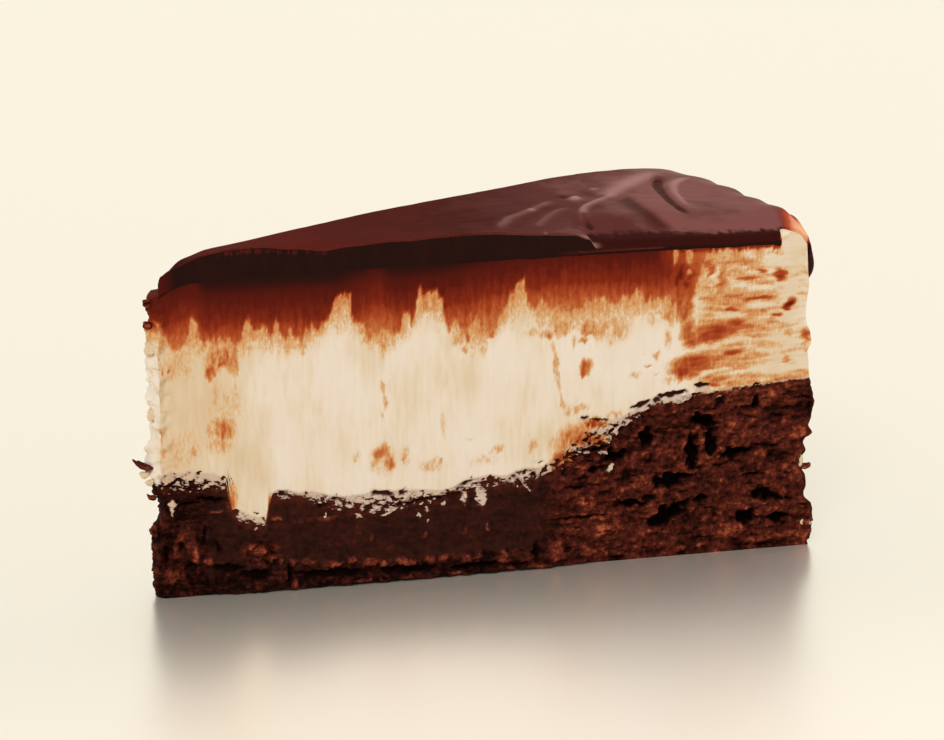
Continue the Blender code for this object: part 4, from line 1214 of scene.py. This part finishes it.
def crumb_group():
    """Colour and fine relief of the chocolate crumb, with painted light on raised crumb and painted shade in
    its hollows.
    """
    group, given, out = new_group(
        "chocolate_crumb",
        {"Place": VECTOR, "Relief": FLOAT, "Hollow Shade": FLOAT, "Loose": FLOAT, "Reddish And Highlit": FLOAT},
        {"Colour": COLOUR, "Height": FLOAT},
    )
    patches = grain(group, given["Place"], 180, 3)
    specks = grain(group, given["Place"], 900, 5, 0.7)
    layers = grain(group, given["Place"], 420, 4, 0.6, (0.5, 0.5, 1.6))
    # The relief paints light on raised crumb and shade on sunken crumb
    tone = maths(group, "MULTIPLY", given["Relief"], 0.6)
    for source, share in ((patches, 0.7), (specks, 1.5), (layers, 0.9)):
        tone = maths(group, "ADD", tone, swing(group, source, share))
    tone = maths(group, "ADD", tone, 0.2)
    loose = ramp(group, tone, LOOSE_CRUMB)
    smooth = ramp(group, tone, SMOOTH_CRUMB)
    mixed = blend(group, between(group, given["Loose"], 0.1, 0.7), smooth, loose)
    # Reddish crumbs and painted highlights on raised crumbs
    red = ramp(group, specks, REDDISH_HIGHLIT_CRUMB)
    rubbed = maths(group, "ADD", given["Reddish And Highlit"], swing(group, layers, 1.5))
    mixed = blend(group, between(group, rubbed, 0.15, 0.9, 0.0, 0.85), mixed, red)
    # Painted shade in the holes and crevices
    mixed = blend(group, between(group, given["Hollow Shade"], 0.1, 0.85), mixed, colour(*CRUMB_HOLLOW_SHADE))
    group.links.new(mixed, out["Colour"])
    height = maths(group, "MULTIPLY", specks, between(group, given["Loose"], 0.0, 1.0, 0.25, 1.0))
    group.links.new(height, out["Height"])
    return group


def cream_group():
    """Colour and fine relief of the cream with the ganache smeared over it."""
    group, given, out = new_group(
        "smeared_cream",
        {"Round": VECTOR, "Smear": FLOAT, "Sweep": FLOAT},
        {"Colour": COLOUR, "Height": FLOAT},
    )
    smear, sweep = given["Smear"], given["Sweep"]
    upright = grain(group, given["Round"], 1.0, 3, 0.55, (1.1, 0.16, 1))
    level = grain(group, given["Round"], 1.0, 5, 0.65, (0.28, 1.5, 1))
    dabs = grain(group, given["Round"], 1.0, 5, 0.65, (0.8, 0.5, 1))
    clouds = grain(group, given["Round"], 1.0, 2, 0.5, (0.12, 0.06, 1))
    specks = grain(group, given["Round"], 1.0, 5, 0.65, (2.2, 0.9, 1))
    streaks = add(group, "ShaderNodeMix", {"Factor": sweep, 2: upright, 3: level}).outputs[0]
    streaks = maths(group, "SUBTRACT", streaks, 0.5)
    mottled = maths(group, "ADD", streaks, maths(group, "SUBTRACT", dabs, 0.5))
    calm = maths(group, "SUBTRACT", 1.0, maths(group, "MULTIPLY", sweep, 0.5))
    spread = swell(group, smear, (0.02, 0.3, 0.05, 0.3), (0.5, 0.98))
    spread = maths(group, "MULTIPLY", spread, calm)
    thin = swell(group, smear, (0.02, 0.12, 0.0, 0.4), (0.25, 0.5))
    amount = maths(group, "MULTIPLY", mottled, spread)
    amount = maths(group, "ADD", amount, swing(group, specks, thin))
    amount = maths(group, "ADD", smear, amount, clamp=True)
    run = add(group, "ShaderNodeSeparateXYZ", {"Vector": given["Round"]}).outputs["X"]
    yellow = maths(group, "MULTIPLY", sweep, 0.15)
    yellow = maths(group, "ADD", between(group, run, 26, 4, 0.0, 0.45), yellow)
    shade = maths(group, "MULTIPLY", streaks, 0.5)
    shade = maths(group, "ADD", shade, maths(group, "ADD", clouds, yellow))
    pale = ramp(group, shade, PALE_CREAM)
    tone = ramp(group, amount, SMEARED_CREAM)
    mixed = blend(group, between(group, amount, 0.0, 0.16), pale, tone)
    group.links.new(mixed, out["Colour"])
    group.links.new(maths(group, "ADD", streaks, amount), out["Height"])
    return group


def fringe_group():
    """A painted highlight along the frayed edge of the cut ganache, broken into ticks."""
    group, given, out = new_group(
        "frayed_edge_highlight", {"Place": VECTOR, "Burr And Highlight": FLOAT, "Start": FLOAT}, {"Edge Highlight": FLOAT}
    )
    ticks = grain(group, given["Place"], 1300, 3, 0.6, (1.4, 0.5, 0.3))
    ticks = between(group, ticks, given["Start"], 0.66)
    group.links.new(maths(group, "MULTIPLY", given["Burr And Highlight"], ticks), out["Edge Highlight"])
    return group


def wall_material(name, crumb, cream, bump, subsurface):
    """The finish of a cut layer: crumb and cream share one ragged seam."""
    material, tree, surface = new_material(name)
    place = add(tree, "ShaderNodeTexCoord").outputs["Object"]
    around = add(tree, "ShaderNodeUVMap", uv_map="round").outputs["UV"]
    hollow, loose, smear = (field(tree, kept) for kept in ("hollow", "loose", "smear"))
    cracked = field(tree, "cracked")
    crumbs = place_group(tree, crumb, {
        "Place": place,
        "Relief": field(tree, "relief"),
        "Hollow Shade": hollow,
        "Loose": loose,
        "Reddish And Highlit": field(tree, "rubbed"),
    })
    creams = place_group(tree, cream, {"Round": around, "Smear": smear, "Sweep": field(tree, "sweep")})
    fray = swing(tree, grain(tree, place, 1400, 4, 0.65), 0.7)
    seam = maths(tree, "ADD", field(tree, "seam"), fray)
    is_cream = between(tree, seam, -0.24, 0.24)
    # Cracks in the cream, painted dark as shade
    veins = maths(tree, "SUBTRACT", grain(tree, place, 700, 4, 0.6, (1, 1, 1.9)), 0.5)
    veins = maths(tree, "ABSOLUTE", veins)
    patchy = between(tree, grain(tree, place, 450, 3), 0.44, 0.56)
    crack = maths(tree, "MULTIPLY", between(tree, veins, 0.004, 0.024, 1.0, 0.0), patchy)
    crack = maths(tree, "MULTIPLY", crack, cracked)
    clean = between(tree, smear, 0.08, 0.3, 0.75, 0.0)
    greyed = maths(tree, "MULTIPLY", between(tree, cracked, 0.1, 0.8), clean)
    cream_tone = blend(tree, greyed, creams["Colour"], colour(*CREAM_GREYED))
    # Painted shade in the cream's hollows and cracks
    cream_tone = blend(tree, between(tree, hollow, 0.1, 0.55), cream_tone, colour(*CREAM_HOLLOW_SHADE))
    cream_tone = blend(tree, maths(tree, "MULTIPLY", crack, 0.75), cream_tone, colour(*CREAM_CRACK_SHADE))
    edged = between(tree, seam, -2.6, -0.3, 0.0, 0.5)
    edged = maths(tree, "MULTIPLY", edged, between(tree, loose, 0.2, 0.9, 1.0, 0.3))
    crumb_tone = blend(tree, edged, crumbs["Colour"], colour(*CRUMB_AT_SEAM))
    tree.links.new(blend(tree, is_cream, crumb_tone, cream_tone), surface.inputs["Base Color"])
    tree.links.new(between(tree, seam, -0.12, 0.12, 0.62, 0.46), surface.inputs["Roughness"])
    surface.inputs["Specular IOR Level"].default_value = 0.02
    surface.inputs["Subsurface Weight"].default_value = subsurface
    surface.inputs["Subsurface Radius"].default_value = (1.0, 0.55, 0.3)
    surface.inputs["Subsurface Scale"].default_value = 1.2 * MM
    heights = {"Factor": is_cream, 2: crumbs["Height"], 3: maths(tree, "SUBTRACT", 0.5, crack)}
    roughen(tree, surface, bump, 0.35, add(tree, "ShaderNodeMix", heights).outputs[0])
    return material


def spread_material(frayed):
    """The glossy spread surface of the ganache, with its sheen, highlights and shade painted into the
    colour.
    """
    material, tree, surface = new_material("ganache_spread")
    place = add(tree, "ShaderNodeTexCoord").outputs["Object"]
    clouds = grain(tree, place, 60, 4)
    fine = grain(tree, place, 500, 4, 0.6, (1, 1.6, 1))
    run = add(tree, "ShaderNodeSeparateXYZ", {"Vector": place}).outputs["X"]
    # Painted sheen that grows towards the rim
    share = between(tree, run, *SPREAD_RUN)
    share = maths(tree, "ADD", share, maths(tree, "SUBTRACT", clouds, 0.5))
    brown = ramp(tree, share, SHEENED_SPREAD_GANACHE)
    swirl = field(tree, "swirl")
    # Painted highlights on the ridges and painted shade in the furrows of the spatula's marks
    brown = blend(tree, between(tree, swirl, 0.0, 0.9, 0.0, 0.75), brown, colour(*SPREAD_RIDGE_HIGHLIGHT))
    brown = blend(tree, between(tree, swirl, 0.0, -0.5, 0.0, 0.9), brown, colour(*SPREAD_FURROW_SHADE))
    # Painted shade on the rolled edge and the walls
    brown = blend(tree, between(tree, field(tree, "spread"), 0.1, 0.9), colour(*SPREAD_EDGE_SHADE), brown)
    # Painted highlight on the burr, and painted glow through the thin ganache
    fringe_highlight = place_group(tree, frayed, {"Place": place, "Burr And Highlight": field(tree, "burr"), "Start": 0.42})
    painted_edge_light = maths(tree, "MULTIPLY", fringe_highlight["Edge Highlight"], 0.4)
    painted_edge_light = maths(tree, "MAXIMUM", painted_edge_light, field(tree, "thin"))
    red = ramp(tree, painted_edge_light, LIT_THIN_GANACHE)
    tree.links.new(blend(tree, between(tree, painted_edge_light, 0.1, 0.6), brown, red), surface.inputs["Base Color"])
    tree.links.new(between(tree, run, *SPREAD_RUN, 0.8, 0.32), surface.inputs["Roughness"])
    surface.inputs["Specular IOR Level"].default_value = 0.005
    roughen(tree, surface, 0.15, 0.2, fine)
    return material


def ganache_cut_material(frayed):
    """The dark face where the knife went through the ganache."""
    material, tree, surface = new_material("ganache_cut")
    place = add(tree, "ShaderNodeTexCoord").outputs["Object"]
    drags = grain(tree, place, 300, 4, 0.6, (1.5, 1.5, 0.5))
    dark = ramp(tree, drags, CUT_GANACHE)
    # Painted highlights on the frayed edge and on the bead
    fringe_highlight = place_group(tree, frayed, {"Place": place, "Burr And Highlight": field(tree, "burr"), "Start": 0.36})
    painted_edge_light = maths(tree, "MAXIMUM", fringe_highlight["Edge Highlight"], field(tree, "bead"))
    run = add(tree, "ShaderNodeSeparateXYZ", {"Vector": place}).outputs["X"]
    dark = blend(tree, between(tree, run, *POINT_RUN), dark, colour(*CUT_AT_POINT))
    dark = blend(tree, between(tree, painted_edge_light, 0.2, 0.9), dark, colour(*CUT_EDGE_HIGHLIGHT))
    tree.links.new(dark, surface.inputs["Base Color"])
    tree.links.new(between(tree, drags, 0.3, 0.8, 0.5, 0.6), surface.inputs["Roughness"])
    surface.inputs["Specular IOR Level"].default_value = 0.02
    roughen(tree, surface, 0.25, 0.2, drags)
    return material


def make_floor():
    """A wide pale floor that mirrors the slice softly."""
    bpy.ops.object.select_all(action="DESELECT")
    bpy.ops.mesh.primitive_plane_add(size=FLOOR_SIZE, location=(0, 0, 0))
    floor = bpy.context.object
    floor.name = "floor"
    material, tree, surface = new_material("pale_floor")
    surface.inputs["Base Color"].default_value = colour(*FLOOR_COLOUR)
    surface.inputs["Roughness"].default_value = 1
    surface.inputs["Specular IOR Level"].default_value = 0
    seen = add(tree, "ShaderNodeLightPath").outputs["Is Camera Ray"]
    place = add(tree, "ShaderNodeTexCoord").outputs["Object"]
    away = add(tree, "ShaderNodeSeparateXYZ", {"Vector": place}).outputs["Y"]
    strength = between(tree, away, *FLOOR_FADE, *FLOOR_MIRROR)
    blur = between(tree, away, *FLOOR_FADE, *FLOOR_BLUR)
    mirror = add(tree, "ShaderNodeBsdfAnisotropic", {"Color": (1, 1, 1, 1), "Roughness": blur})
    slant = add(tree, "ShaderNodeLayerWeight", {"Blend": 0.5}).outputs["Facing"]
    share = maths(tree, "MULTIPLY", seen, strength)
    share = maths(tree, "MULTIPLY", share, between(tree, slant, *FLOOR_SLANT))
    shaders = {0: share, 1: surface.outputs["BSDF"], 2: mirror.outputs["BSDF"]}
    mixed = add(tree, "ShaderNodeMixShader", shaders)
    tree.links.new(mixed.outputs["Shader"], tree.nodes["Material Output"].inputs["Surface"])
    floor.data.materials.append(material)


def towards(azimuth, elevation):
    """Direction to a place seen from the slice, turned from the shown cut's side and raised, in degrees."""
    turn, rise = math.radians(azimuth), math.radians(elevation)
    return Vector((math.sin(turn) * math.cos(rise), -math.cos(turn) * math.cos(rise), math.sin(rise)))


def soft_sun(name, azimuth, elevation, strength, spread):
    """A far, soft light from one side, given by where it stands."""
    lamp = bpy.data.lights.new(name, "SUN")
    lamp.energy = strength
    lamp.angle = math.radians(spread)
    lamp.color = DAYLIGHT
    light = bpy.data.objects.new(name, lamp)
    bpy.context.scene.collection.objects.link(light)
    light.location = towards(azimuth, elevation)
    light.rotation_euler = towards(azimuth, elevation).to_track_quat("Z", "Y").to_euler()


def make_studio():
    """Even light all round, a little stronger from the camera's side and from above."""
    world = bpy.data.worlds.new("studio")
    world.use_nodes = True
    bpy.context.scene.world = world
    tree = world.node_tree
    light = tree.nodes["Background"]
    direction = add(tree, "ShaderNodeTexCoord").outputs["Generated"]
    rise = add(tree, "ShaderNodeSeparateXYZ", {"Vector": direction}).outputs["Z"]
    mirrored = between(tree, rise, 0.4, 0.7, 1.0, 0.15)
    path = add(tree, "ShaderNodeLightPath").outputs["Is Glossy Ray"]
    strength = add(tree, "ShaderNodeMix", {"Factor": path, 2: SKY_LIGHT, 3: mirrored}).outputs[0]
    tint = blend(tree, path, SKY_TINT, colour(*BACKGROUND_COLOUR))
    tree.links.new(tint, light.inputs["Color"])
    tree.links.new(strength, light.inputs["Strength"])
    for lamp in LIGHTS:
        soft_sun(*lamp)


def make_camera():
    """The camera of the photo."""
    camera_data = bpy.data.cameras.new("camera")
    camera_data.lens = SENSOR_WIDTH * LENS_PIXELS / PICTURE_WIDTH
    camera_data.sensor_width = SENSOR_WIDTH
    camera_data.clip_start = NEAREST_SEEN
    camera = bpy.data.objects.new("camera", camera_data)
    bpy.context.scene.collection.objects.link(camera)
    back = towards(VIEW_AZIMUTH, VIEW_ELEVATION)
    target = Vector((VIEW_TARGET + CENTRE) * MM)
    camera.location = target + back * VIEW_DISTANCE * MM
    camera.rotation_euler = (-back).to_track_quat("-Z", "Y").to_euler()
    bpy.context.scene.camera = camera


def main():
    crumb = crumb_group()
    cream = cream_group()
    frayed = fringe_group()
    base_material = wall_material("chocolate_base", crumb, cream, bump=0.9, subsurface=0.0)
    cream_material = wall_material("cream_cut", crumb, cream, bump=0.4, subsurface=0.15)
    make_base(base_material)
    make_cream(cream_material)
    make_loose_bits(base_material, cream_material)
    make_topping([spread_material(frayed), ganache_cut_material(frayed)])
    make_floor()
    make_studio()
    make_camera()
    bpy.context.scene.view_settings.view_transform = "Standard"


main()
